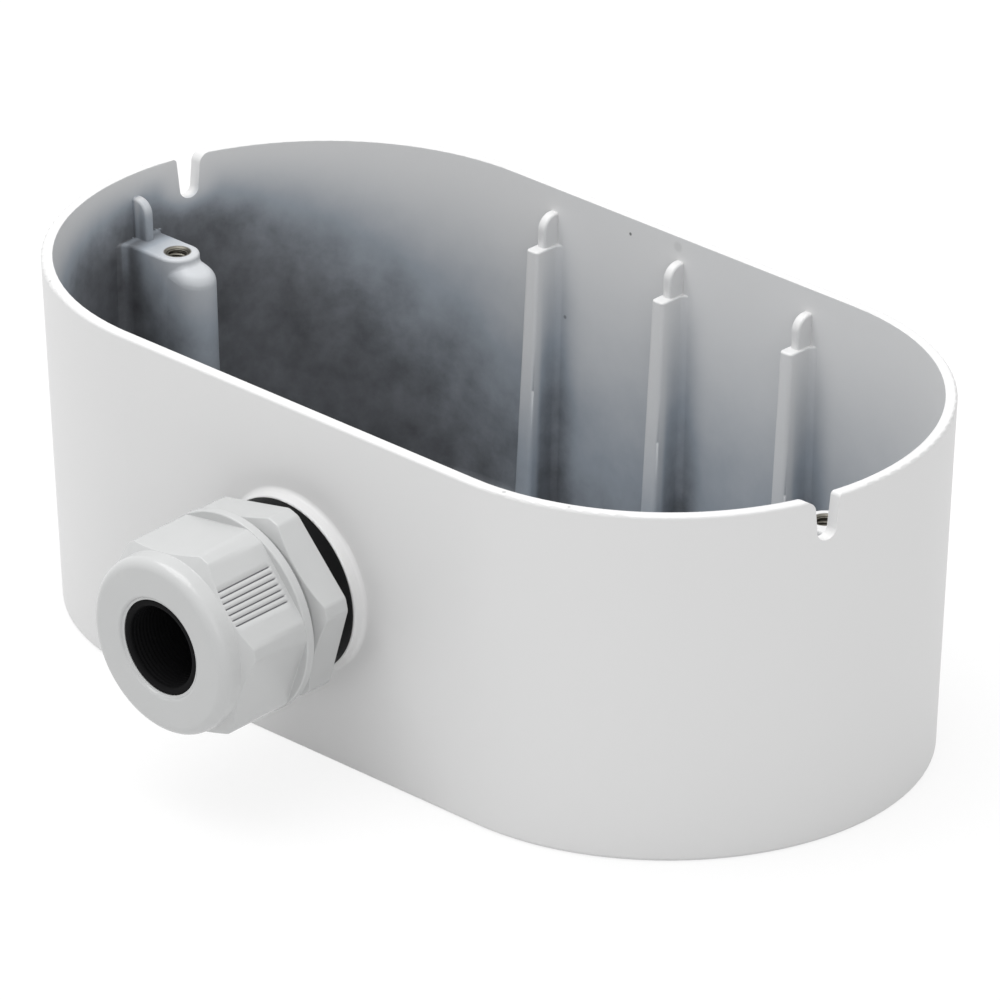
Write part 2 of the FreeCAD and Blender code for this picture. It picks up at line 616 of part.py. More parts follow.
def nut_grooves():
    """Fine grip grooves along every second flat."""
    low_z = COLLAR_FRONT + GROOVE_START_ABOVE_COLLAR
    high_z = DOME_START + DOME_STRAIGHT
    low_floor = NUT_ACROSS_FLATS / 2 + rise(NUT_FLAT_DRAFT, DOME_START - low_z) - GROOVE_DEPTH
    high_floor = NUT_ACROSS_FLATS / 2 - rise(NUT_FLAT_DRAFT, high_z - DOME_START) - GROOVE_DEPTH
    cutters = []
    for flat in range(GROOVED_FLATS):
        for step in range(GROOVE_COUNT):
            y = (step - (GROOVE_COUNT - 1) / 2) * GROOVE_PITCH - GROOVE_WIDTH / 2
            section = [Vector(low_floor, y, low_z), Vector(low_floor + OVERRUN, y, low_z),
                       Vector(high_floor + OVERRUN, y, high_z), Vector(high_floor, y, high_z)]
            cutter = prism(section, Vector(0, GROOVE_WIDTH, 0))
            cutter.rotate(Vector(0, 0, 0), UP, NUT_TURN + SIXTH_TURN / 2 + flat * 360 / GROOVED_FLATS)
            cutters.append(cutter)
    return cutters


def gland_dome_nut():
    bore = turned([(0, NUT_REAR - OVERRUN), (NUT_BORE_RADIUS, NUT_REAR - OVERRUN),
                   (NUT_BORE_RADIUS, NUT_CONE_START), (NUT_CONE_RADIUS, NUT_CONE_START),
                   (NUT_OPENING_RADIUS, NUT_CONE_END), (NUT_OPENING_RADIUS, NUT_FACE + OVERRUN),
                   (0, NUT_FACE + OVERRUN)])
    nut = nut_outside().cut(bore)
    nut = nut.makeFillet(NUT_OPENING_ROUND, circles_at(nut, NUT_OPENING_RADIUS, NUT_FACE))
    return nut.cut(nut_grooves())


def gland_lock_nut():
    rear = -WALL - LOCK_NUT_THICKNESS
    flats = loft(hexagon_wire(LOCK_NUT_ACROSS_FLATS, rear, LOCK_NUT_TURN),
                 hexagon_wire(LOCK_NUT_ACROSS_FLATS, -WALL, LOCK_NUT_TURN))
    corner = LOCK_NUT_CORNER_RADIUS
    nut = flats.common(turned([
        (THREAD_RADIUS + THREAD_CLEARANCE, rear), (corner - LOCK_NUT_CHAMFER, rear),
        (corner, rear + LOCK_NUT_CHAMFER), (corner, -WALL), (THREAD_RADIUS + THREAD_CLEARANCE, -WALL)]))
    return nut


PIECES = {
    "housing": housing(),
    "gland_gasket": on_gland_axis(gland_gasket()),
    "gland_body": on_gland_axis(gland_body()),
    "gland_seal": on_gland_axis(gland_seal()),
    "gland_dome_nut": on_gland_axis(gland_dome_nut()),
    "gland_lock_nut": on_gland_axis(gland_lock_nut()),
}

for name, shape in PIECES.items():
    solids = shape.Solids
    print(name, "solids", len(solids), "valid", shape.isValid(), "volume", round(shape.Volume, 1))
    solid = solids[0] if len(solids) == 1 else shape
    solid.exportStep("parts/" + name + ".step")
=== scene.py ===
import json
import math
from collections import namedtuple

import bpy
import numpy as np
from mathutils import Matrix, Vector


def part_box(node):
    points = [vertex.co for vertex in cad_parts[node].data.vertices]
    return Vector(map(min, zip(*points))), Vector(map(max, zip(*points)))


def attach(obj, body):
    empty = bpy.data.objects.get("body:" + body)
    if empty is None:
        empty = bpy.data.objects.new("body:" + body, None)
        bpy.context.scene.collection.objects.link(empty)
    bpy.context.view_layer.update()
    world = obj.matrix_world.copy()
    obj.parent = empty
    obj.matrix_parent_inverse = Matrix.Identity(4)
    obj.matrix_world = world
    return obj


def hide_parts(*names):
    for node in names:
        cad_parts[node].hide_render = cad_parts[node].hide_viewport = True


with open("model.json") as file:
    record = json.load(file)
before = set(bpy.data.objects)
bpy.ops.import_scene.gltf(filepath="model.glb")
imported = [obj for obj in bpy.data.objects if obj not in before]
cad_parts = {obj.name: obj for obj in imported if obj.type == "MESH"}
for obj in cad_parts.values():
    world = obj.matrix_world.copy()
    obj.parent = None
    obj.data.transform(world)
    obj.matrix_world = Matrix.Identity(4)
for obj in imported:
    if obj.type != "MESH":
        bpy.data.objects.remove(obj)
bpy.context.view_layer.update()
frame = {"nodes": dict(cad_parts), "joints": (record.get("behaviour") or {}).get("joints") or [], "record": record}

bl_info = {
    "name": "Camera Junction Box",
    "version": (1, 1, 0),
    "blender": (4, 5, 0),
    "location": "View3D > Sidebar > Junction Box",
    "description": "Finishes and fine detail for a cast camera junction box with a cable gland",
    "category": "Object",
}

# All lengths are in metres, in the frame's own axes: +Z out of the open side, the gland on the -Y wall.
MM = 0.001
FULL_TURN = 2 * math.pi
SIXTH_TURN = math.pi / 3

# An axis that turned pieces are made about: stations count along it, and angles turn from side to up.
Axis = namedtuple("Axis", "point along side up")


def axis_at(point, along):
    along = np.array(along, float)
    side = np.array([1.0, 0.0, 0.0])
    return Axis(np.array(point, float), along, side, np.cross(along, side))


# The gland's axis is that of the joint that turns the dome nut, and starts at the nut's rear edge.
NUT_JOINT = next(joint for joint in frame["joints"] if joint["name"] == "nut_turn")
GLAND = axis_at(NUT_JOINT["pos_m"], NUT_JOINT["axis"])


def gland_reach(node):
    """A node's least and greatest station, and its least and greatest radius, about the gland's axis."""
    mesh = frame["nodes"][node].data
    places = np.empty(len(mesh.vertices) * 3, np.float32)
    mesh.vertices.foreach_get("co", places)
    offsets = places.reshape(-1, 3) - GLAND.point
    stations = offsets @ GLAND.along
    radii = np.linalg.norm(offsets - np.outer(stations, GLAND.along), axis=1)
    return [float(end) for values in (stations, radii) for end in (values.min(), values.max())]


_, NUT_FACE, _, COLLAR_RADIUS = gland_reach("gland_dome_nut")
THREAD_TIP, CLAW_END, _, HEXAGON_CORNER = gland_reach("gland_body")
SEAL_REAR, SEAL_FACE, SEAL_BORE, _ = gland_reach("gland_seal")
GASKET_REAR, HEXAGON_REAR, _, GASKET_RADIUS = gland_reach("gland_gasket")
LOCK_NUT_REAR, LOCK_NUT_FRONT, _, LOCK_NUT_CORNER = gland_reach("gland_lock_nut")

# The cup: its plan is two half circles joined by straight walls.
CUP_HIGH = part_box("housing")[1]
RIM = CUP_HIGH.z
END_RADIUS = CUP_HIGH.y
HALF_STRAIGHT = CUP_HIGH.x - CUP_HIGH.y
SCREW_MOUNT = next(mount for mount in frame["record"]["mounts"] if mount["name"] == "camera_screws")
SCREW_X = SCREW_MOUNT["dims"]["pcd_mm"] * MM / 2
SCREW_RADIUS = SCREW_MOUNT["dims"]["hole_r_mm"] * MM


def length(description, millimetres, high=1.0):
    """A length that a user may change. Its highest value is in metres."""
    return bpy.props.FloatProperty(
        description=description, default=millimetres * MM, min=0.0, max=high,
        subtype="DISTANCE", unit="LENGTH", precision=5)


def angle(description, degrees):
    return bpy.props.FloatProperty(
        description=description, default=math.radians(degrees), subtype="ANGLE", unit="ROTATION")


def amount(description, default, high=100.0):
    return bpy.props.FloatProperty(description=description, default=default, min=0.0, max=high)


def colour(description, default):
    """A colour that a user may change, written as sRGB hex and held as linear light."""
    return bpy.props.FloatVectorProperty(
        description=description, default=linear(default), size=4, min=0.0, max=1.0, subtype="COLOR")


def linear(code):
    """sRGB hex to linear light: x / 12.92 below 0.04045, else ((x + 0.055) / 1.055) to the power 2.4."""
    parts = [int(code[place:place + 2], 16) / 255 for place in (0, 2, 4)]
    return tuple(part / 12.92 if part <= 0.04045 else ((part + 0.055) / 1.055) ** 2.4
                 for part in parts) + (1.0,)


class CastingSizes(bpy.types.PropertyGroup):
    """Sizes of the casting that its finish and its small pieces follow."""
    wall: length("Thickness of the cup's wall", 2.1)
    draft: angle("Lean of the cup's walls", 2.28)
    seat_below_rim: length("From the rim down to the screw bosses' seats", 12.1)
    rib_pitch: length("Spacing of the ribs", 31.0)
    notch_offset: length("From the box's middle to a rim notch", 11.8)
    thread_pitch: length("Pitch of the tapped holes", 0.7)
    thread_depth: length("Depth of the tapped holes' thread", 0.3)
    thread_length: length("Length of the cut thread", 12.0)
    flash_thickness: length("Thickness of the flash left on a boss", 0.3)


class DomeNutSizes(bpy.types.PropertyGroup):
    """Sizes of the gland's dome nut."""
    collar_width: length("Width of the round collar at the rear", 1.8)
    collar_round: length("Round of the collar's two edges", 0.3)
    across_flats: length("Across the flats where the dome starts", 33.0)
    flat_draft: angle("Lean of the flats", 1.5)
    flat_length: length("Length of the flats from the collar to the shoulder", 12.1)
    corner_radius: length("Radius of the curved strips between the flats", 18.5)
    shoulder_rise: length("Length of the sloping ends of the strips", 1.5)
    dome_radius: length("Radius of the round front", 16.4)
    dome_round: length("Round of the dome's edge", 2.6)
    opening_radius: length("Radius of the lip at the face", 9.5)
    opening_round: length("Round of the opening's lip", 0.5)
    ledge_depth: length("From the face down to the thin ledge inside the lip", 0.55)
    ledge_outer: length("Outer radius of the thin ledge", 9.15)
    ledge_inner: length("Inner radius of the thin ledge", 8.8)
    opening_land: length("Length of the opening behind the face", 1.6)
    cone_start: length("Narrow end of the cone that presses the claws", 9.0)
    cone_radius: length("Wide end of the cone that presses the claws", 14.4)
    bore_radius: length("Radius of the threaded bore", 14.8)
    bore_length: length("Length of the threaded bore", 9.8)
    turn: angle("Angle of the first corner from the box's length", 8.5)
    groove_pitch: length("Spacing of the grip grooves", 1.1)
    groove_width: length("Width of one grip groove", 0.2)
    groove_depth: length("Depth of one grip groove", 0.3)
    groove_start: length("Plain stretch between the collar and the grooves", 0.9)
    groove_count: bpy.props.IntProperty(
        description="Grip grooves on each grooved flat", default=7, min=1, max=15)
    edge_softness: length("How soft the moulded edges are", 0.15)


class GlandBodySizes(bpy.types.PropertyGroup):
    """Sizes of the gland's body, its lock nut and its rubber pieces."""
    hexagon_length: length("Length of the hexagon", 6.5)
    across_flats: length("Across the hexagon's flats", 33.0)
    chamfer_length: length("Length of the hexagon's front chamfer", 1.4)
    chamfer_reach: length("How far the chamfer reaches in", 2.2)
    turn: angle("Angle of the first corner from the box's length", 11.5)
    shank_radius: length("Outer radius of the thread through the wall", 12.4)
    neck_radius: length("Outer radius of the thread under the dome nut", 14.7)
    neck_length: length("Length of the thread under the dome nut", 8.0)
    thread_pitch: length("Pitch of both threads", 1.5)
    thread_depth: length("Depth of both threads", 0.75)
    tip_chamfer: length("Chamfer at the shank's end", 0.8)
    bore_radius: length("Radius of the bore for the cable", 9.6)
    pocket_radius: length("Radius of the pocket that holds the bush", 11.6)
    pocket_depth: length("Depth of the pocket behind the claws", 2.4)
    claw_radius: length("Outer radius of the claws", 13.4)
    claw_tip_radius: length("Outer radius of the claws at their tips", 12.0)
    claw_tip_length: length("Length of the claws' sloping tips", 2.5)
    claw_slot: length("Width of the slots between the claws", 1.1)
    claw_count: bpy.props.IntProperty(
        description="Clamping claws round the bush", default=10, min=3, max=20)
    edge_softness: length("How soft the moulded edges are", 0.2)
    lock_across_flats: length("Across the lock nut's flats", 32.0)
    lock_bore: length("Radius of the lock nut's bore", 12.5)
    lock_chamfer: length("Chamfer of the lock nut's rear corners", 1.0)
    lock_mouth: length("Chamfer at both ends of the lock nut's bore", 0.4)
    lock_turn: angle("Angle of its first corner from the box's length", 4.0)
    gasket_bore: length("Inner radius of the gasket", 12.6)
    rubber_round: length("Round of the rubber pieces' edges", 0.5)
    seal_nose_radius: length("Outer radius of the bush's nose", 8.7)
    seal_waist_radius: length("Outer radius of the bush within the claws", 11.3)
    seal_taper_start: length("Where the bush starts to narrow", 13.86)
    seal_taper_end: length("Where the bush has narrowed to its nose", 17.7)
    seal_ridge_pitch: length("Spacing of the ridges in the bush's bore", 0.8)
    seal_ridge_depth: length("Depth of the ridges in the bush's bore", 0.12)


class Finishes(bpy.types.PropertyGroup):
    """Colours of the surfaces, and how the coat thins inside the cup, with painted shade deep inside it."""
    coating: colour("Pale powder coat on the casting", "DCDCDC")
    # The bluish grey and the dark casting below also stand for painted shade deep in the cup.
    thin_coating_and_shade: colour("Bluish grey where the coat is a thin mist", "9FA6AE")
    bare_casting_and_shade: colour("Dark treated casting that the coat doesn't reach", "5F6165")
    nylon: colour("Moulded nylon of the gland", "BFC0C0")
    # Painted shade in the nut's grip grooves.
    groove_shade: colour("Dust and shade in the nut's grip grooves", "7C7C80")
    bush: colour("Talc-dusted rubber of the bush", "151516")
    gasket: colour("Black rubber of the gasket", "070708")
    thread_metal: colour("Bare metal of the tapped holes", "7D7A72")
    # The reaches and their ends set both how the coat thins and where the painted shade inside the cup lies.
    reach_left: length("How deep the coat reaches at the far left end", 5.5)
    reach_right: length("How deep the coat reaches from the middle on", 50.0)
    thin_and_shaded_from: length("From the box's middle to where the coat is thinnest", 90.0)
    thin_and_shaded_to: length("From the box's middle to where the coat has its full reach", 20.0)


class StudioSettings(bpy.types.PropertyGroup):
    """Camera, floor and light."""
    azimuth: angle("Turn of the view about the vertical, from the gland's wall", 44.247)
    elevation: angle("Height of the view above the horizon", 25.861)
    roll: angle("Turn of the camera about its own line of sight", -0.083)
    distance: length("From the camera to the point it looks at", 1785.185, high=10.0)
    focal_length: amount("Lens, in millimetres on a 36 mm sensor", 381.26, high=5000.0)
    aim: bpy.props.FloatVectorProperty(
        description="Point that the camera looks at", size=3, subtype="TRANSLATION", unit="LENGTH",
        default=(0.051391, -0.050992, 0.066792))
    floor_size: length("Side of the square floor", 6000.0, high=50.0)
    floor_colour: colour("Pale floor", "D6D6D6")
    floor_white: amount("Brightness of the floor's own white", 1.1)
    kept_shadow: amount("Share of the object's shadow that the floor shows", 0.25, high=1.0)
    world_light: amount("Strength of the even light from all round", 0.79)
    top_light: amount("Power of the soft light overhead, in watts", 14.5)
    side_light: amount("Power of the soft light at the right, in watts", 1.8)


def fill(tree, node, inputs):
    """Fills a node's inputs: a socket, or a node for its first output, is linked, and any other value is
    set on the input itself."""
    for name, value in inputs.items():
        if isinstance(value, bpy.types.Node):
            value = next(socket for socket in value.outputs if socket.enabled)
        if isinstance(value, bpy.types.NodeSocket):
            tree.links.new(value, node.inputs[name])
        else:
            node.inputs[name].default_value = value


def add(tree, kind, inputs=None, **settings):
    """Adds a shader node with its settings, its links and its values."""
    node = tree.nodes.new("ShaderNode" + kind)
    for name, value in settings.items():
        setattr(node, name, value)
    fill(tree, node, inputs or {})
    return node


def empty_tree(owner):
    owner.use_nodes = True
    owner.node_tree.nodes.clear()
    return owner.node_tree


def new_material(name):
    """An empty material with its output node, its shader and its Object coordinates."""
    tree = empty_tree(bpy.data.materials.new(name))
    shader = add(tree, "BsdfPrincipled")
    add(tree, "OutputMaterial", {"Surface": shader})
    return tree, shader, add(tree, "TexCoord").outputs["Object"]


# What a zone's edge changes from and to.
RISES = (0.0, 1.0)
FALLS = (1.0, 0.0)


def zone(tree, *edges, share=1.0):
    """A share, multiplied by one smooth change for each edge of a zone. An edge is given as a value, the
    two ends between which the change runs, and what it runs from and to."""
    for value, low, high, (first, last) in edges:
        change = add(tree, "MapRange", {
            "Value": value, "From Min": low, "From Max": high, "To Min": first, "To Max": last},
            interpolation_type="SMOOTHSTEP")
        share = add(tree, "Math", {0: share, 1: change}, operation="MULTIPLY")
    return share


def distance_in(tree, across, along=0.0, up=0.0):
    """Length of a vector given by its three parts."""
    vector = add(tree, "CombineXYZ", {"X": across, "Y": along, "Z": up})
    return add(tree, "VectorMath", {0: vector}, operation="LENGTH").outputs["Value"]


def folded_place(tree, place):
    """The place's parts, its distance out from the middle towards either end, and its parts with the sign
    of the end or of the wall taken off: the cup is unchanged by half a turn about its middle."""
    parts = add(tree, "SeparateXYZ", {"Vector": place})
    x, y, z = parts.outputs
    end_side = add(tree, "Math", {0: x}, operation="SIGN")
    wall_side = add(tree, "Math", {0: y}, operation="SIGN")
    return {
        "x": x, "y": y, "z": z,
        "out": add(tree, "Math", {0: x}, operation="ABSOLUTE"),
        "end_y": add(tree, "Math", {0: end_side, 1: y}, operation="MULTIPLY"),
        "wall_x": add(tree, "Math", {0: wall_side, 1: x}, operation="MULTIPLY")}


def wall_depth(tree, casting, at):
    """Depth under the outer skin: end radius - tan(draft) x (rim - z) - distance from the middle line."""
    beyond = add(tree, "Math", {0: at["out"], 1: HALF_STRAIGHT}, operation="SUBTRACT")
    beyond = add(tree, "Math", {0: beyond, 1: 0.0}, operation="MAXIMUM")
    from_middle = distance_in(tree, beyond, at["y"])
    lean = math.tan(casting.draft)
    skin = add(tree, "Math", {0: at["z"], 1: lean, 2: END_RADIUS - lean * RIM}, operation="MULTIPLY_ADD")
    return add(tree, "Math", {0: skin, 1: from_middle}, operation="SUBTRACT")


# How fast the inside darkens, partly the coat thinning and partly painted shade, and what that darkening is
# multiplied by on the ribs, from their tops down, on the screw bosses, at a boss's edges, at a rib's root, from a
# notch outwards, and within the clouds. Less on ribs and bosses is partly painted light on what stands proud, less
# at a boss's edges is painted highlight, and more at a rib's root is painted shade.
THINNING_AND_SHADE_RATE = 0.7
ON_RIBS = (0.48, 0.85)
ON_BOSSES = 0.7
AT_BOSS_EDGES = 0.65
AT_RIB_ROOTS = 1.55
FROM_NOTCH = (0.5, 1.0)
IN_CLOUDS = (0.92, 1.09)
NOTCH_DEPTH = 5.0 * MM


def coat_thinning_and_shade(tree, finishes, casting, at, place):
    """How dark the inside is, 0 to 1: partly the coat thinning and partly painted shade deep in the cup,
    1 - exp(-rate x t squared), where t is the depth below the rim over the reach. The reach is short at the left
    end, with painted shade there too, and t is less on what stands proud (partly painted light), at the screw
    bosses' edges (painted highlights) and near a notch, and more at the ribs' roots (painted shade)."""
    wall = casting.wall
    depth = wall_depth(tree, casting, at)
    reach = add(tree, "MapRange", {
        "Value": at["x"], "From Min": -finishes.thin_and_shaded_from, "From Max": -finishes.thin_and_shaded_to,
        "To Min": finishes.reach_left, "To Max": finishes.reach_right})
    below = add(tree, "Math", {0: RIM, 1: at["z"]}, operation="SUBTRACT")
    share = add(tree, "Math", {0: below, 1: reach}, operation="DIVIDE")
    aside = add(tree, "Math", {0: at["y"]}, operation="ABSOLUTE")
    by_boss = zone(tree, (aside, 7.0 * MM, 9.0 * MM, FALLS),
                   (at["out"], SCREW_X - 15.0 * MM, SCREW_X - 11.0 * MM, RISES),
                   (at["z"], 5.5 * MM, 9.0 * MM, RISES))
    on_ribs = zone(tree, (below, 25.0 * MM, 56.0 * MM, ON_RIBS))
    least = add(tree, "Mix", {"Factor": by_boss, "A": on_ribs, "B": ON_BOSSES}, data_type="FLOAT")
    # Lighter on what stands proud, the ribs and the screw bosses: partly the coat reaching further, partly painted
    # light.
    standing = zone(tree, (depth, wall + 2.0 * MM, wall + 6.0 * MM, RISES))
    proud = add(tree, "Mix", {"Factor": standing, "A": 1.0, "B": least}, data_type="FLOAT")
    # Painted highlight along the nose of each screw boss.
    tip = zone(tree, (depth, wall + 18.4 * MM, wall + 18.9 * MM, RISES), share=by_boss)
    # Painted highlight along the root fillet of each screw boss.
    root = zone(tree, (depth, wall + 0.2 * MM, wall + 0.6 * MM, RISES),
                (depth, wall + 1.0 * MM, wall + 2.2 * MM, FALLS), share=by_boss)
    edge = add(tree, "Math", {0: tip, 1: root}, operation="MAXIMUM")
    painted_edge_highlight = add(tree, "Mix", {"Factor": edge, "A": 1.0, "B": AT_BOSS_EDGES}, data_type="FLOAT")
    end_wall = HALF_STRAIGHT + END_RADIUS - wall
    from_notch = distance_in(
        tree, add(tree, "Math", {0: at["out"], 1: end_wall}, operation="SUBTRACT"),
        add(tree, "Math", {0: at["end_y"], 1: casting.notch_offset}, operation="ADD"),
        add(tree, "Math", {0: at["z"], 1: RIM - NOTCH_DEPTH}, operation="SUBTRACT"))
    by_notch = zone(tree, (from_notch, 2.5 * MM, 8.0 * MM, FROM_NOTCH))
    half_pitch = casting.rib_pitch / 2
    rib = add(tree, "Math", {0: at["wall_x"], 1: half_pitch, 2: -half_pitch}, operation="WRAP")
    # Painted shade in the crease beside each rib's root.
    root_crease_shade = zone(tree, (rib, 0.9 * MM, 1.8 * MM, RISES), (rib, 1.8 * MM, 8.0 * MM, FALLS),
                  (at["out"], HALF_STRAIGHT - 6.0 * MM, HALF_STRAIGHT, FALLS),
                  (depth, wall + 3.6 * MM, wall + 4.9 * MM, FALLS))
    painted_root_shade = add(tree, "Mix", {"Factor": root_crease_shade, "A": 1.0, "B": AT_RIB_ROOTS}, data_type="FLOAT")
    cloud = add(tree, "TexNoise", {
        "Vector": place, "Scale": 1 / (11 * MM), "Detail": 5.0, "Roughness": 0.62})
    clouded = add(tree, "MapRange", {
        "Value": cloud, "From Min": 0.3, "From Max": 0.7, "To Min": IN_CLOUDS[0], "To Max": IN_CLOUDS[1]})
    for factor in (proud, painted_edge_highlight, by_notch, painted_root_shade, clouded):
        share = add(tree, "Math", {0: share, 1: factor}, operation="MULTIPLY")
    square = add(tree, "Math", {0: share, 1: share}, operation="MULTIPLY")
    fall = add(tree, "Math", {0: square, 1: -THINNING_AND_SHADE_RATE}, operation="MULTIPLY")
    kept = add(tree, "Math", {0: fall}, operation="EXPONENT")
    thinned_and_shaded = add(tree, "Math", {0: 1.0, 1: kept}, operation="SUBTRACT")
    return zone(tree, (depth, 0.35 * wall, 0.95 * wall, RISES), (at["z"], 0.5 * MM, 2.5 * MM, RISES),
                share=thinned_and_shaded)


# Small marks on the casting: the place in millimetres, the radius in millimetres and how dark each is.
MARKS = (
    ((-12.21, 47.78, 63.71), 0.42, 0.75),  # pinprick under the far rim
    ((-0.60, 47.82, 64.82), 1.3, 0.12),  # faint smudge beside it
    ((-27.58, 46.94, 42.70), 0.5, 0.5),  # speck at a rib's root
    ((49.73, -48.31, 66.80), 0.5, 0.35),  # nick on the near rim
    ((61.63, -44.86, 66.80), 0.35, 0.4),  # speck on the near rim
    ((-67.20, -42.73, 66.80), 0.35, 0.35),  # speck on the left rim
)


def relief(tree, place, width, detail, height, strength):
    """A fine relief whose width and height are in millimetres: its noise, and the bump that it gives."""
    grain = add(tree, "TexNoise", {"Vector": place, "Scale": 1 / (width * MM), "Detail": detail})
    return grain, add(tree, "Bump", {"Height": grain, "Distance": height * MM, "Strength": strength})


def powder_coat(finishes, casting):
    """Polyester powder coat, sprayed on the casting and baked: satin with a fine orange-peel skin outside,
    and a thinning bluish mist over the dark treated metal deep inside, where the spray hardly reached, darkened
    further with painted shade deep in the cup and lit with painted highlights at the screw bosses' edges."""
    tree, shader, place = new_material("powder_coat_satin")
    at = folded_place(tree, place)
    thinned_and_shaded = coat_thinning_and_shade(tree, finishes, casting, at, place)
    # The ramp runs from the coat to the bare casting, and paints the shade deep in the cup as well.
    ramp = add(tree, "ValToRGB", {"Fac": thinned_and_shaded})
    stops = ramp.color_ramp.elements
    stops[0].color = finishes.coating
    stops[1].color = finishes.bare_casting_and_shade
    stops.new(0.5).color = finishes.thin_coating_and_shade
    grain = add(tree, "TexNoise", {"Vector": place, "Scale": 1 / (7 * MM), "Detail": 8.0, "Roughness": 0.6})
    grainy = add(tree, "MapRange", {
        "Value": grain, "From Min": 0.3, "From Max": 0.7, "To Min": 0.66, "To Max": 1.34})
    # The mottle shows where the inside is darkest, both nearly bare and in painted shade.
    nearly_bare_and_shaded = zone(tree, (thinned_and_shaded, 0.35, 0.95, RISES))
    mottle = add(tree, "Mix", {"Factor": nearly_bare_and_shaded, "A": 1.0, "B": grainy}, data_type="FLOAT")
    marks = []
    for point, radius, darkness in MARKS:
        away = add(tree, "VectorMath", {0: place, 1: Vector(point) * MM}, operation="DISTANCE")
        marks.append((away.outputs["Value"], 0.4 * radius * MM, radius * MM, (1.0 - darkness, 1.0)))
    shade = zone(tree, *marks, share=mottle)
    coat = add(tree, "Mix", {"Factor": 1.0, "A": ramp, "B": shade}, data_type="RGBA", blend_type="MULTIPLY")
    across = add(tree, "Math", {0: at["out"], 1: SCREW_X}, operation="SUBTRACT")
    from_screw = distance_in(tree, across, at["y"])
    seat = RIM - casting.seat_below_rim
    cut = zone(tree, (from_screw, SCREW_RADIUS + 0.35 * MM, SCREW_RADIUS + 0.65 * MM, FALLS),
               (at["z"], seat + 0.5 * MM, seat + 1.0 * MM, FALLS))
    surface = add(tree, "Mix", {"Factor": cut, "A": coat, "B": finishes.thread_metal}, data_type="RGBA")
    gloss = add(tree, "MapRange", {"Value": thinned_and_shaded, "To Min": 0.42, "To Max": 0.62})
    _, bump = relief(tree, place, width=0.9, detail=2.0, height=0.01, strength=0.5)
    fill(tree, shader, {"Base Color": surface, "Roughness": gloss, "Metallic": cut, "Normal": bump,
                        "IOR": 1.5})


def moulded_nylon(finishes):
    """Polyamide moulded in a fine-etched steel tool: soft satin with faint flow clouds, and painted shade that
    darkens the nut's grip grooves."""
    tree, shader, place = new_material("moulded_nylon")
    cloud = add(tree, "TexNoise", {"Vector": place, "Scale": 1 / (9 * MM), "Detail": 2.0})
    tint = add(tree, "MapRange", {"Value": cloud, "To Min": 0.97, "To Max": 1.02})
    body = add(tree, "Mix", {"Factor": 1.0, "A": finishes.nylon, "B": tint},
               data_type="RGBA", blend_type="MULTIPLY")
    # Painted shade in the grip grooves, darker where a groove is deeper.
    groove = add(tree, "Attribute", attribute_name="groove").outputs["Fac"]
    shade = add(tree, "Mix", {"Factor": groove, "A": body, "B": finishes.groove_shade}, data_type="RGBA")
    _, bump = relief(tree, place, width=0.25, detail=3.0, height=0.003, strength=0.4)
    fill(tree, shader, {"Base Color": shade, "Normal": bump, "Roughness": 0.24, "IOR": 1.53})


def bush_rubber(finishes):
    """Nitrile rubber of the bush, dusted with talc in its mould: a deep black that hardly shines."""
    rubber("bush_rubber_matt", finishes.bush, 0.04)


def gasket_rubber(finishes):
    """Nitrile rubber of the gasket, from a plain steel mould: near black, with a dull sheen at its edge."""
    rubber("gasket_rubber_sheen", finishes.gasket, 0.12)


def rubber(name, black, sheen):
    """Black rubber with a fine moulded grain and a given sheen."""
    tree, shader, place = new_material(name)
    grain, bump = relief(tree, place, width=0.4, detail=3.0, height=0.01, strength=0.5)
    gloss = add(tree, "MapRange", {"Value": grain, "To Min": 0.5, "To Max": 0.68})
    fill(tree, shader, {"Base Color": black, "Roughness": gloss, "Normal": bump,
                        "Specular IOR Level": sheen, "IOR": 1.52})


def cut_metal(finishes):
    """Aluminium casting alloy freshly cut by a tap: bright flanks with fine chatter along the thread."""
    tree, shader, place = new_material("tapped_aluminium")
    chatter, bump = relief(tree, place, width=0.3, detail=2.0, height=0.01, strength=0.6)
    gloss = add(tree, "MapRange", {"Value": chatter, "To Min": 0.22, "To Max": 0.5})
    fill(tree, shader, {"Base Color": finishes.thread_metal, "Roughness": gloss, "Normal": bump,
                        "Metallic": 1.0})


def axis_point(axis, stations, angles, radii):
    """Point = axis point + station x axis + radius x (cos x side + sin x up), for whole arrays."""
    side = radii * np.cos(angles)
    rise = radii * np.sin(angles)
    return (axis.point + stations[..., None] * axis.along
            + side[..., None] * axis.side + rise[..., None] * axis.up)


def soft_least(first, second, softness):
    """The lesser of two surfaces, blended over a softness: b(1 - h) + a h - s h(1 - h)."""
    share = np.clip(0.5 + 0.5 * (second - first) / softness, 0, 1)
    return second * (1 - share) + first * share - softness * share * (1 - share)


def smooth_step(low, high, value):
    share = np.clip((value - low) / (high - low), 0, 1)
    return share * share * (3 - 2 * share)


def smooth_run(low, high, ease, value):
    """1 from low to high, easing in and out within its two ends."""
    return smooth_step(low, low + ease, value) * (1 - smooth_step(high - ease, high, value))


def hexagon_flank(angles, turn, half_flats, corner, softness):
    """The nearest of six flats, half the flats over the cosine from its normal, or the corner's radius
    where that is less."""
    from_flat = (angles - turn) % SIXTH_TURN - SIXTH_TURN / 2
    return soft_least(half_flats / np.cos(from_flat), corner, softness)


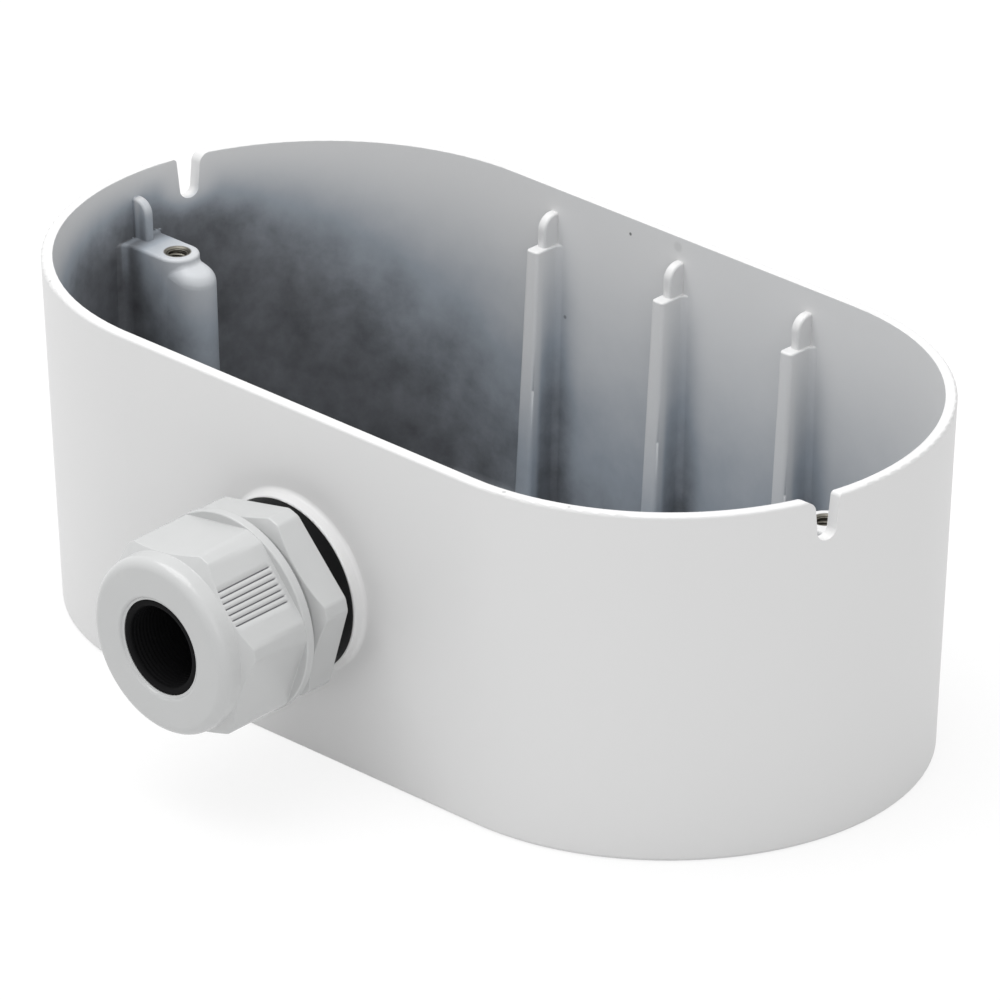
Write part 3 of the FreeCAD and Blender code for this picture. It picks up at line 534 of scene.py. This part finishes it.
def hexagon_angles(turn, narrow, wide, corner, extra=()):
    """Angles round a hexagon, closer together where its flats meet the curved corners."""
    strip_edges = [math.acos(min(half / corner, 0.999)) for half in (wide, narrow)]
    margin = 0.02
    near = np.linspace(strip_edges[0] - margin, strip_edges[1] + margin, 16)
    plain = np.linspace(-1, 1, 13) * (near[0] - margin / 2)
    flat = np.concatenate([plain, near, -near, [SIXTH_TURN / 2]])
    angles = [turn + SIXTH_TURN * (place + 0.5) + flat for place in range(6)]
    angles += [turn + SIXTH_TURN * (place + 0.5) + np.asarray(extra) for place in range(0, 6, 2)]
    return np.unique(np.round(np.concatenate(angles) % FULL_TURN, 5))


def circle_angles(count):
    return np.linspace(0, FULL_TURN, count, endpoint=False)


def rounded_outline(corners, rounds, steps):
    """Closed outline of (station, radius) corners, one set for each angle, with elliptic corner rounds.
    A round leaves each side at its reach and runs corner + reach x (u(1 - sin t) + v(1 - cos t)),
    with u and v towards the neighbouring corners. A corner of reach 0 stays one point, and a reach takes
    just under half of its shorter side at most."""
    shape = np.broadcast_shapes(*[np.shape(value) for corner in corners for value in corner])
    points = np.array([[np.broadcast_to(value, shape) for value in corner] for corner in corners])
    under_half, tiny = 0.48, 1e-9
    turn = np.linspace(0, math.pi / 2, steps)[:, None, None]
    outline = []
    for place, reach in enumerate(rounds):
        here = points[place]
        if not reach:
            outline.append(here[None])
            continue
        before = points[place - 1] - here
        after = points[(place + 1) % len(points)] - here
        gap_before = np.linalg.norm(before, axis=0)
        gap_after = np.linalg.norm(after, axis=0)
        size = np.minimum(reach, under_half * np.minimum(gap_before, gap_after))
        outline.append(here + size * (before / np.maximum(gap_before, tiny) * (1 - np.sin(turn))
                                      + after / np.maximum(gap_after, tiny) * (1 - np.cos(turn))))
    joined = np.concatenate(outline)
    return joined[:, 0], joined[:, 1]


def last_row(rounds, corner, steps):
    """The outline's row at which a corner ends."""
    return sum(steps if reach else 1 for reach in rounds[:corner + 1]) - 1


def with_run(stations, radii, row, count):
    """Puts evenly spaced rows between one row and the next, (1 - t) x this + t x the next, and gives
    the new rows' places."""
    share = np.linspace(0, 1, count + 2)[1:-1, None]
    longer = [np.concatenate([values[:row + 1], values[row] * (1 - share) + values[row + 1] * share,
                              values[row + 1:]]) for values in (stations, radii)]
    return longer[0], longer[1], slice(row + 1, row + 1 + count)


def thread_depth(stations, angles, pitch, depth):
    """Right-handed thread: depth x a flat-topped wave of station / pitch - angle / turn, which fades in and
    out over half a pitch at the run's two ends."""
    wave = np.abs(((stations / pitch - angles / FULL_TURN) % 1) * 2 - 1)
    profile = np.clip(1.25 * wave - 0.125, 0, 1)
    return depth * profile * smooth_run(stations.min(), stations.max(), pitch / 2, stations)


def ring_faces(rows, columns):
    """Quads of a grid that closes on itself both ways."""
    row, column = np.meshgrid(np.arange(rows), np.arange(columns), indexing="ij")
    next_row, next_column = (row + 1) % rows, (column + 1) % columns
    corners = [row * columns + column, row * columns + next_column,
               next_row * columns + next_column, next_row * columns + column]
    return np.stack(corners, -1).reshape(-1, 4)


def lump_faces(rows, around):
    """Quads of a row of like closed outlines: sides between each two, and strips across both ends."""
    row, column = np.meshgrid(np.arange(rows - 1), np.arange(around), indexing="ij")
    following = (column + 1) % around
    sides = np.stack([row * around + column, row * around + following,
                      (row + 1) * around + following, (row + 1) * around + column], -1).reshape(-1, 4)
    place = np.arange(around // 2 - 1)
    cap = np.stack([place, around - 1 - place, around - 2 - place, place + 1], -1)
    return np.concatenate([sides, cap, cap[:, ::-1] + (rows - 1) * around])


def enclosed_volume(points, faces):
    """Sum over the quads of a x (b x c) / 6 for their two triangles: positive where faces point outwards."""
    a, b, c, d = (points[faces[:, place]] for place in range(4))
    return float((a * (np.cross(b, c) + np.cross(c, d))).sum()) / 6


def ring(axis, stations, angles, radii):
    """A closed ring about an axis from its outline at each angle: its points and faces."""
    points = axis_point(axis, stations, np.broadcast_to(angles, stations.shape), radii)
    return points.reshape(-1, 3), ring_faces(*stations.shape)


def new_object(name, data):
    made = bpy.data.objects.new(name, data)
    bpy.context.scene.collection.objects.link(made)
    return made


def mesh_object(name, parts, attribute=None):
    """One smooth mesh of closed parts, each given as points and quads, with its faces turned outwards."""
    points, faces, first = [], [], 0
    for part_points, part_faces in parts:
        if enclosed_volume(part_points - part_points.mean(0), part_faces) < 0:
            part_faces = part_faces[:, ::-1]
        points.append(part_points)
        faces.append(part_faces + first)
        first += len(part_points)
    points, faces = np.concatenate(points), np.concatenate(faces)
    mesh = bpy.data.meshes.new(name)
    mesh.vertices.add(len(points))
    mesh.vertices.foreach_set("co", points.astype(np.float32).ravel())
    mesh.loops.add(faces.size)
    mesh.loops.foreach_set("vertex_index", faces.astype(np.int32).ravel())
    mesh.polygons.add(len(faces))
    mesh.polygons.foreach_set("loop_start", np.arange(0, faces.size, 4, dtype=np.int32))
    mesh.update(calc_edges=True)
    mesh.validate()
    mesh.shade_smooth()
    for label, values in (attribute or {}).items():
        field = mesh.attributes.new(label, "FLOAT", "POINT")
        field.data.foreach_set("value", values.astype(np.float32).ravel())
    return new_object(name, mesh)


def material_named(name):
    found = bpy.data.materials.get(name)
    if found is None:
        raise RuntimeError("make the finishes before the pieces: there is no material " + name)
    return found


def finish_piece(piece, body, material, node=None):
    """Gives a piece its finish and the body that it rides on, and puts it in a node's place."""
    piece.data.materials.append(material_named(material))
    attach(piece, body)
    if node:
        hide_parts(node)


def finish_nylon(piece, body, node):
    """A nylon piece: normals weighted by face area keep its flats flat up to their narrow rounded edges."""
    piece.modifiers.new("flat_faces", "WEIGHTED_NORMAL").mode = "FACE_AREA"
    finish_piece(piece, body, "moulded_nylon", node)


# Rows of points along the threads, the ridges and the grooves.
SCREW_ROWS, NECK_ROWS, SHANK_ROWS, RIDGE_ROWS, GROOVE_ROWS = 160, 56, 112, 90, 36

# The sleeves' gap in their holes and start below the seats, and the least bevels that keep outlines apart.
SLEEVE_GAP, LEAD_IN, LEAST_BEVEL, LEAST_SLOPE = 0.02 * MM, 0.4 * MM, 0.02 * MM, 0.05 * MM


class JUNCTION_OT_finishes(bpy.types.Operator):
    """Make the materials"""
    bl_idname = "junction.finishes"
    bl_label = "Finishes"

    def execute(self, context):
        finishes = context.scene.junction_finishes
        powder_coat(finishes, context.scene.junction_casting)
        for make in (moulded_nylon, bush_rubber, gasket_rubber, cut_metal):
            make(finishes)
        return {"FINISHED"}


class JUNCTION_OT_housing(bpy.types.Operator):
    """Coat the cast housing"""
    bl_idname = "junction.housing"
    bl_label = "Housing"

    def execute(self, context):
        housing = frame["nodes"]["housing"]
        housing.data.materials.clear()
        housing.data.materials.append(material_named("powder_coat_satin"))
        return {"FINISHED"}


class JUNCTION_OT_screw_threads(bpy.types.Operator):
    """Cut the thread in the two tapped holes: a thin sleeve in each, with a thread wave on its inside"""
    bl_idname = "junction.screw_threads"
    bl_label = "Screw Threads"

    def execute(self, context):
        sizes = context.scene.junction_casting
        outer = SCREW_RADIUS - SLEEVE_GAP
        inner = outer - sizes.thread_depth
        start, end = LEAD_IN, LEAD_IN + sizes.thread_length
        angles = circle_angles(48)
        corners = [(0 * angles + start, outer), (end, outer), (end, inner), (start, inner)]
        stations, radii = rounded_outline(corners, [0, 0, 0, 0], steps=1)
        stations, radii, run = with_run(stations, radii, 2, SCREW_ROWS)
        radii[run] += thread_depth(stations[run], angles, sizes.thread_pitch, 0.95 * sizes.thread_depth)
        for name, x in (("left", -SCREW_X), ("right", SCREW_X)):
            axis = axis_at((x, 0, RIM - sizes.seat_below_rim), (0, 0, -1))
            sleeve = mesh_object("tapped_thread_" + name, [ring(axis, stations, angles, radii)])
            finish_piece(sleeve, "box", "tapped_aluminium")
        return {"FINISHED"}


def bead(start, end, thickness, waviness):
    """A short bead between two points: circles of radius thickness x sqrt(sin) along a line that
    waves up and down, closed at both ends."""
    upward = np.array((0, 0, 1))
    share = np.linspace(0.04, 0.96, 17)
    along = np.array(end) - np.array(start)
    side = np.cross(along / np.linalg.norm(along), upward)
    centre = np.array(start) + share[:, None] * along
    centre = centre + np.outer(waviness * np.sin(3 * math.pi * share), upward)
    radius = thickness / 2 * np.sqrt(np.sin(math.pi * share))
    turn = circle_angles(12)
    ring_shape = np.cos(turn)[:, None] * side + np.sin(turn)[:, None] * upward
    points = centre[:, None] + radius[:, None, None] * ring_shape
    return points.reshape(-1, 3), lump_faces(len(share), len(turn))


# The tail and the knob of flash: both ends in millimetres from the seat, thickness over the flash's own,
# and waviness in millimetres.
FLASH = (
    ((-89.1, 3.4, 0.1), (-88.1, 4.7, 0.0), 1.0, 0.12),
    ((-89.25, -1.55, 0.1), (-88.8, -1.75, 0.0), 1.6, 0.0),
)


class JUNCTION_OT_flash(bpy.types.Operator):
    """Leave the bits of casting flash on the left screw boss"""
    bl_idname = "junction.flash"
    bl_label = "Casting Flash"

    def execute(self, context):
        sizes = context.scene.junction_casting
        seat = np.array((0, 0, RIM - sizes.seat_below_rim))
        beads = [bead(seat + np.array(start) * MM, seat + np.array(end) * MM,
                      thickness * sizes.flash_thickness, waviness * MM)
                 for start, end, thickness, waviness in FLASH]
        flash = mesh_object("casting_flash", beads)
        finish_piece(flash, "box", "powder_coat_satin")
        return {"FINISHED"}


def groove_angles(sizes):
    """Angles across the grip grooves of one flat, measured from its normal."""
    across = np.array([-1.6, -1.0, -0.7, -0.35, 0.0, 0.35, 0.7, 1.0, 1.6]) * sizes.groove_width / 2
    centres = (np.arange(sizes.groove_count) - (sizes.groove_count - 1) / 2) * sizes.groove_pitch
    return np.arctan2((centres[:, None] + across).ravel(), sizes.across_flats / 2)


def groove_depths(sizes, stations, angles, first, last):
    """Depth of the grip grooves on every second flat: full within each groove, easing out at its edges."""
    from_flat = (angles - sizes.turn) % (2 * SIXTH_TURN) - SIXTH_TURN / 2
    lateral = sizes.across_flats / 2 * np.tan(np.clip(from_flat, -SIXTH_TURN / 2, SIXTH_TURN / 2))
    place = lateral / sizes.groove_pitch + (sizes.groove_count - 1) / 2
    nearest = np.clip(np.round(place), 0, sizes.groove_count - 1)
    off_centre = np.abs(place - nearest) * sizes.groove_pitch
    across = 1 - smooth_step(0.25 * sizes.groove_width, 0.75 * sizes.groove_width, off_centre)
    grooved = np.abs(from_flat) < SIXTH_TURN / 2
    along = smooth_run(first, last, sizes.groove_depth, stations)
    return sizes.groove_depth * across * grooved * along


class JUNCTION_OT_dome_nut(bpy.types.Operator):
    """Mould the gland's dome nut with its flats, strips, grooves, lip and ledge"""
    bl_idname = "junction.dome_nut"
    bl_label = "Dome Nut"

    def execute(self, context):
        sizes = context.scene.junction_nut
        soft = sizes.edge_softness
        collar_front = sizes.collar_width
        shoulder = collar_front + sizes.flat_length
        dome_start = shoulder + sizes.shoulder_rise
        lean = math.tan(sizes.flat_draft)
        half = sizes.across_flats / 2
        strip = sizes.corner_radius
        angles = hexagon_angles(sizes.turn, half, half + lean * sizes.flat_length, strip,
                                extra=groove_angles(sizes))

        def flank(stations):
            """Nearer of the leaning flat and the curved strip."""
            return hexagon_flank(angles, sizes.turn, half + lean * (dome_start - stations), strip, soft)

        foot = flank(collar_front)
        slope = (strip - sizes.dome_radius) / sizes.shoulder_rise
        bend = shoulder + (strip - flank(shoulder)) / slope
        bend = np.clip(bend, shoulder, dome_start - LEAST_SLOPE)
        top = np.maximum(flank(bend), sizes.dome_radius)
        ledge = NUT_FACE - sizes.ledge_depth
        corners = [(0 * foot, sizes.bore_radius), (0, COLLAR_RADIUS), (collar_front, COLLAR_RADIUS),
                   (collar_front, foot), (bend, top), (dome_start, sizes.dome_radius),
                   (NUT_FACE, sizes.dome_radius), (NUT_FACE, sizes.opening_radius),
                   (ledge, sizes.ledge_outer), (ledge, sizes.ledge_inner),
                   (NUT_FACE - sizes.opening_land, sizes.cone_start),
                   (sizes.bore_length, sizes.cone_radius), (sizes.bore_length, sizes.bore_radius)]
        rounds = [soft, sizes.collar_round, sizes.collar_round, soft, soft, soft, sizes.dome_round,
                  sizes.opening_round, soft / 2, soft / 3, soft, soft, 0]
        steps = 8
        stations, radii = rounded_outline(corners, rounds, steps)
        stations, radii, run = with_run(stations, radii, last_row(rounds, 3, steps), GROOVE_ROWS)
        depth = np.zeros(stations.shape)
        first = collar_front + sizes.groove_start
        depth[run] = groove_depths(sizes, stations[run], angles, first, dome_start)
        # The grooves' depth is kept on the mesh for the painted shade in them.
        nut = mesh_object("dome_nut_moulding", [ring(GLAND, stations, angles, radii - depth)],
                          {"groove": depth / sizes.groove_depth})
        finish_nylon(nut, "dome_nut", "gland_dome_nut")
        return {"FINISHED"}


def claws(sizes, neck_end):
    """Clamping claws: one outline swept through each claw's share of the turn, with slots between."""
    inner, outer = sizes.pocket_radius, sizes.claw_radius
    soft = sizes.edge_softness
    half_slot = math.asin(sizes.claw_slot / 2 / outer)
    pitch = FULL_TURN / sizes.claw_count
    sweep = np.linspace(half_slot, pitch - half_slot, 9)
    root = neck_end - soft
    corners = [(0 * sweep + root, inner), (root, outer), (CLAW_END - sizes.claw_tip_length, outer),
               (CLAW_END, sizes.claw_tip_radius), (CLAW_END, inner)]
    stations, radii = rounded_outline(corners, [0, 0, soft, soft, soft], steps=4)
    if len(stations) % 2:
        stations, radii, _ = with_run(stations, radii, 0, 1)
    parts = []
    for place in range(sizes.claw_count):
        points = axis_point(GLAND, stations.T, (sweep + pitch * place)[:, None] + 0 * stations.T, radii.T)
        parts.append((points.reshape(-1, 3), lump_faces(len(sweep), len(stations))))
    return parts


class JUNCTION_OT_gland_body(bpy.types.Operator):
    """Mould the gland's body: hexagon, two threads and the clamping claws"""
    bl_idname = "junction.gland_body"
    bl_label = "Gland Body"

    def execute(self, context):
        sizes = context.scene.junction_gland
        soft = sizes.edge_softness
        half = sizes.across_flats / 2
        shank = sizes.shank_radius
        front = HEXAGON_REAR + sizes.hexagon_length
        neck_end = front + sizes.neck_length
        pocket_floor = neck_end - sizes.pocket_depth
        angles = hexagon_angles(sizes.turn, half, half, HEXAGON_CORNER)
        flank = hexagon_flank(angles, sizes.turn, half, HEXAGON_CORNER, soft)
        face_radius = HEXAGON_CORNER - sizes.chamfer_reach
        slope = sizes.chamfer_length / sizes.chamfer_reach
        bend = front - np.maximum(flank - face_radius, LEAST_BEVEL) * slope
        corners = [(THREAD_TIP + 0 * flank, sizes.bore_radius), (THREAD_TIP, shank - sizes.tip_chamfer),
                   (THREAD_TIP + sizes.tip_chamfer, shank), (HEXAGON_REAR, shank),
                   (HEXAGON_REAR, flank), (bend, flank), (front, face_radius), (front, sizes.neck_radius),
                   (neck_end, sizes.neck_radius), (neck_end, sizes.pocket_radius),
                   (pocket_floor, sizes.pocket_radius), (pocket_floor, sizes.bore_radius)]
        rounds = [soft, 0, 0, 0, soft, soft, soft, 0, 0, 0, soft, soft]
        steps = 6
        stations, radii = rounded_outline(corners, rounds, steps)
        for corner, rows in ((7, NECK_ROWS), (2, SHANK_ROWS)):
            stations, radii, run = with_run(stations, radii, last_row(rounds, corner, steps), rows)
            radii[run] -= thread_depth(stations[run], angles, sizes.thread_pitch, sizes.thread_depth)
        parts = [ring(GLAND, stations, angles, radii)] + claws(sizes, neck_end)
        finish_nylon(mesh_object("gland_body_moulding", parts), "box", "gland_body")
        return {"FINISHED"}


class JUNCTION_OT_lock_nut(bpy.types.Operator):
    """Mould the lock nut inside the cup"""
    bl_idname = "junction.lock_nut"
    bl_label = "Lock Nut"

    def execute(self, context):
        sizes = context.scene.junction_gland
        soft = sizes.edge_softness
        half = sizes.lock_across_flats / 2
        angles = hexagon_angles(sizes.lock_turn, half, half, LOCK_NUT_CORNER)
        flank = hexagon_flank(angles, sizes.lock_turn, half, LOCK_NUT_CORNER, soft)
        face_radius = np.minimum(flank, LOCK_NUT_CORNER - sizes.lock_chamfer)
        bend = LOCK_NUT_REAR + np.maximum(flank - face_radius, LEAST_BEVEL)
        bore, mouth = sizes.lock_bore, sizes.lock_mouth
        corners = [(LOCK_NUT_REAR + 0 * flank, bore + mouth), (LOCK_NUT_REAR, face_radius), (bend, flank),
                   (LOCK_NUT_FRONT, flank), (LOCK_NUT_FRONT, bore + mouth),
                   (LOCK_NUT_FRONT - mouth, bore), (LOCK_NUT_REAR + mouth, bore)]
        stations, radii = rounded_outline(corners, [0, soft, soft, soft, 0, 0, 0], steps=6)
        nut = mesh_object("lock_nut_moulding", [ring(GLAND, stations, angles, radii)])
        finish_nylon(nut, "box", "gland_lock_nut")
        return {"FINISHED"}


class JUNCTION_OT_rubber(bpy.types.Operator):
    """Mould the rubber bush, with fine ridges in its bore, and the flat gasket"""
    bl_idname = "junction.rubber"
    bl_label = "Rubber"

    def execute(self, context):
        sizes = context.scene.junction_gland
        soft = sizes.rubber_round
        waist, nose = sizes.seal_waist_radius, sizes.seal_nose_radius
        angles = circle_angles(128)
        flat = 0 * angles
        corners = [(SEAL_FACE + flat, SEAL_BORE), (SEAL_REAR, SEAL_BORE), (SEAL_REAR, waist),
                   (sizes.seal_taper_start, waist), (sizes.seal_taper_end, nose), (SEAL_FACE, nose)]
        rounds = [soft, soft, soft / 2, soft, soft, soft / 4]
        steps = 6
        stations, radii = rounded_outline(corners, rounds, steps)
        stations, radii, run = with_run(stations, radii, last_row(rounds, 0, steps), RIDGE_ROWS)
        from_face = stations[run] - stations[run].max()
        wave = 0.5 - 0.5 * np.cos(FULL_TURN * from_face / sizes.seal_ridge_pitch)
        radii[run] += sizes.seal_ridge_depth * wave
        bush = mesh_object("bush_rubber", [ring(GLAND, stations, angles, radii)])
        finish_piece(bush, "seal", "bush_rubber_matt", "gland_seal")
        corners = [(GASKET_REAR + flat, sizes.gasket_bore), (GASKET_REAR, GASKET_RADIUS),
                   (HEXAGON_REAR, GASKET_RADIUS), (HEXAGON_REAR, sizes.gasket_bore)]
        stations, radii = rounded_outline(corners, [0, soft, soft, 0], steps)
        gasket = mesh_object("gasket_rubber", [ring(GLAND, stations, angles, radii)])
        finish_piece(gasket, "box", "gasket_rubber_sheen", "gland_gasket")
        return {"FINISHED"}


class JUNCTION_OT_stage(bpy.types.Operator):
    """Set the floor, the light and the camera"""
    bl_idname = "junction.stage"
    bl_label = "Stage"

    def execute(self, context):
        for make in (make_floor, make_world, make_lamps, make_camera):
            make(context.scene.junction_studio)
        context.scene.view_settings.view_transform = "Standard"
        return {"FINISHED"}


WHITE = (1, 1, 1, 1)


def seen_ray(tree):
    """1 for rays that show the background: those of the camera, and those through gloss or glass."""
    path = add(tree, "LightPath").outputs
    either = add(tree, "Math", {0: path["Is Camera Ray"], 1: path["Is Glossy Ray"]}, operation="MAXIMUM")
    return add(tree, "Math", {0: either, 1: path["Is Transmission Ray"]}, operation="MAXIMUM")


def make_floor(studio):
    """Pale floor, just under the box: seen as white with part of the object's own shadow kept."""
    half = studio.floor_size / 2
    corners = [(x * half, y * half, 0) for x, y in ((-1, -1), (1, -1), (1, 1), (-1, 1))]
    mesh = bpy.data.meshes.new("floor")
    mesh.from_pydata(corners, [], [(0, 1, 2, 3)])
    floor = new_object("floor", mesh)
    floor.location.z = -0.1 * MM
    material = bpy.data.materials.new("pale_floor")
    tree = empty_tree(material)
    matt = add(tree, "BsdfDiffuse", {"Color": studio.floor_colour})
    white = add(tree, "Emission", {"Color": WHITE, "Strength": studio.floor_white})
    share = add(tree, "Math", {0: seen_ray(tree), 1: 1 - studio.kept_shadow}, operation="MULTIPLY")
    mixed = add(tree, "MixShader", {0: share, 1: matt, 2: white})
    add(tree, "OutputMaterial", {"Surface": mixed})
    mesh.materials.append(material)


def make_world(studio):
    """Even light from all round, which the camera sees as white."""
    world = bpy.data.worlds.new("studio")
    tree = empty_tree(world)
    light = add(tree, "Background", {"Color": WHITE, "Strength": studio.world_light})
    white = add(tree, "Background", {"Color": WHITE, "Strength": 1.0})
    mixed = add(tree, "MixShader", {0: seen_ray(tree), 1: light, 2: white})
    add(tree, "OutputWorld", {"Surface": mixed})
    bpy.context.scene.world = world


def make_lamps(studio):
    """A large soft light overhead and a smaller one at the right."""
    for name, place, side, power in (("top_light", (-0.3, -0.2, 1.4), 1.2, studio.top_light),
                                     ("side_light", (1.2, -0.7, 0.7), 0.8, studio.side_light)):
        lamp = bpy.data.lights.new(name, "AREA")
        lamp.shape = "SQUARE"
        lamp.size = side
        lamp.energy = power
        light = new_object(name, lamp)
        light.location = place
        light.rotation_mode = "QUATERNION"
        light.rotation_quaternion = Vector(place).to_track_quat("Z", "Y")


def make_camera(studio):
    """Camera at azimuth and elevation round its aim, turned a little about its own line of sight."""
    azimuth, elevation, roll = studio.azimuth, studio.elevation, studio.roll
    back = Vector((math.sin(azimuth) * math.cos(elevation), -math.cos(azimuth) * math.cos(elevation),
                   math.sin(elevation)))
    right = Vector((math.cos(azimuth), math.sin(azimuth), 0))
    up = back.cross(right)
    right, up = (right * math.cos(roll) + up * math.sin(roll), up * math.cos(roll) - right * math.sin(roll))
    lens = bpy.data.cameras.new("camera")
    lens.lens = studio.focal_length
    lens.sensor_width = 36.0
    lens.clip_end = 100.0
    camera = new_object("camera", lens)
    place = Vector(studio.aim) + back * studio.distance
    camera.matrix_world = Matrix((
        (right.x, up.x, back.x, place.x), (right.y, up.y, back.y, place.y),
        (right.z, up.z, back.z, place.z), (0, 0, 0, 1)))
    bpy.context.scene.camera = camera


OPERATORS = (
    JUNCTION_OT_finishes, JUNCTION_OT_housing, JUNCTION_OT_screw_threads, JUNCTION_OT_flash,
    JUNCTION_OT_gland_body, JUNCTION_OT_lock_nut, JUNCTION_OT_rubber, JUNCTION_OT_dome_nut,
    JUNCTION_OT_stage)

GROUPS = {
    "junction_casting": CastingSizes,
    "junction_nut": DomeNutSizes,
    "junction_gland": GlandBodySizes,
    "junction_finishes": Finishes,
    "junction_studio": StudioSettings,
}


class JUNCTION_PT_panel(bpy.types.Panel):
    """Sizes, colours and steps of the junction box"""
    bl_label = "Camera Junction Box"
    bl_space_type = "VIEW_3D"
    bl_region_type = "UI"
    bl_category = "Junction Box"

    def draw(self, context):
        for operator in OPERATORS:
            self.layout.operator(operator.bl_idname)
        for name in GROUPS:
            group = getattr(context.scene, name)
            box = self.layout.box()
            for field in group.__annotations__:
                box.prop(group, field, text=field.replace("_", " ").title())


def register():
    for kind in (*GROUPS.values(), *OPERATORS, JUNCTION_PT_panel):
        bpy.utils.register_class(kind)
    for name, kind in GROUPS.items():
        setattr(bpy.types.Scene, name, bpy.props.PointerProperty(type=kind))


def unregister():
    for name in GROUPS:
        delattr(bpy.types.Scene, name)
    for kind in (JUNCTION_PT_panel, *reversed(OPERATORS), *reversed(GROUPS.values())):
        bpy.utils.unregister_class(kind)


def main():
    register()
    for operator in OPERATORS:
        getattr(bpy.ops.junction, operator.bl_idname.removeprefix("junction."))()


if __name__ == "__main__":
    main()
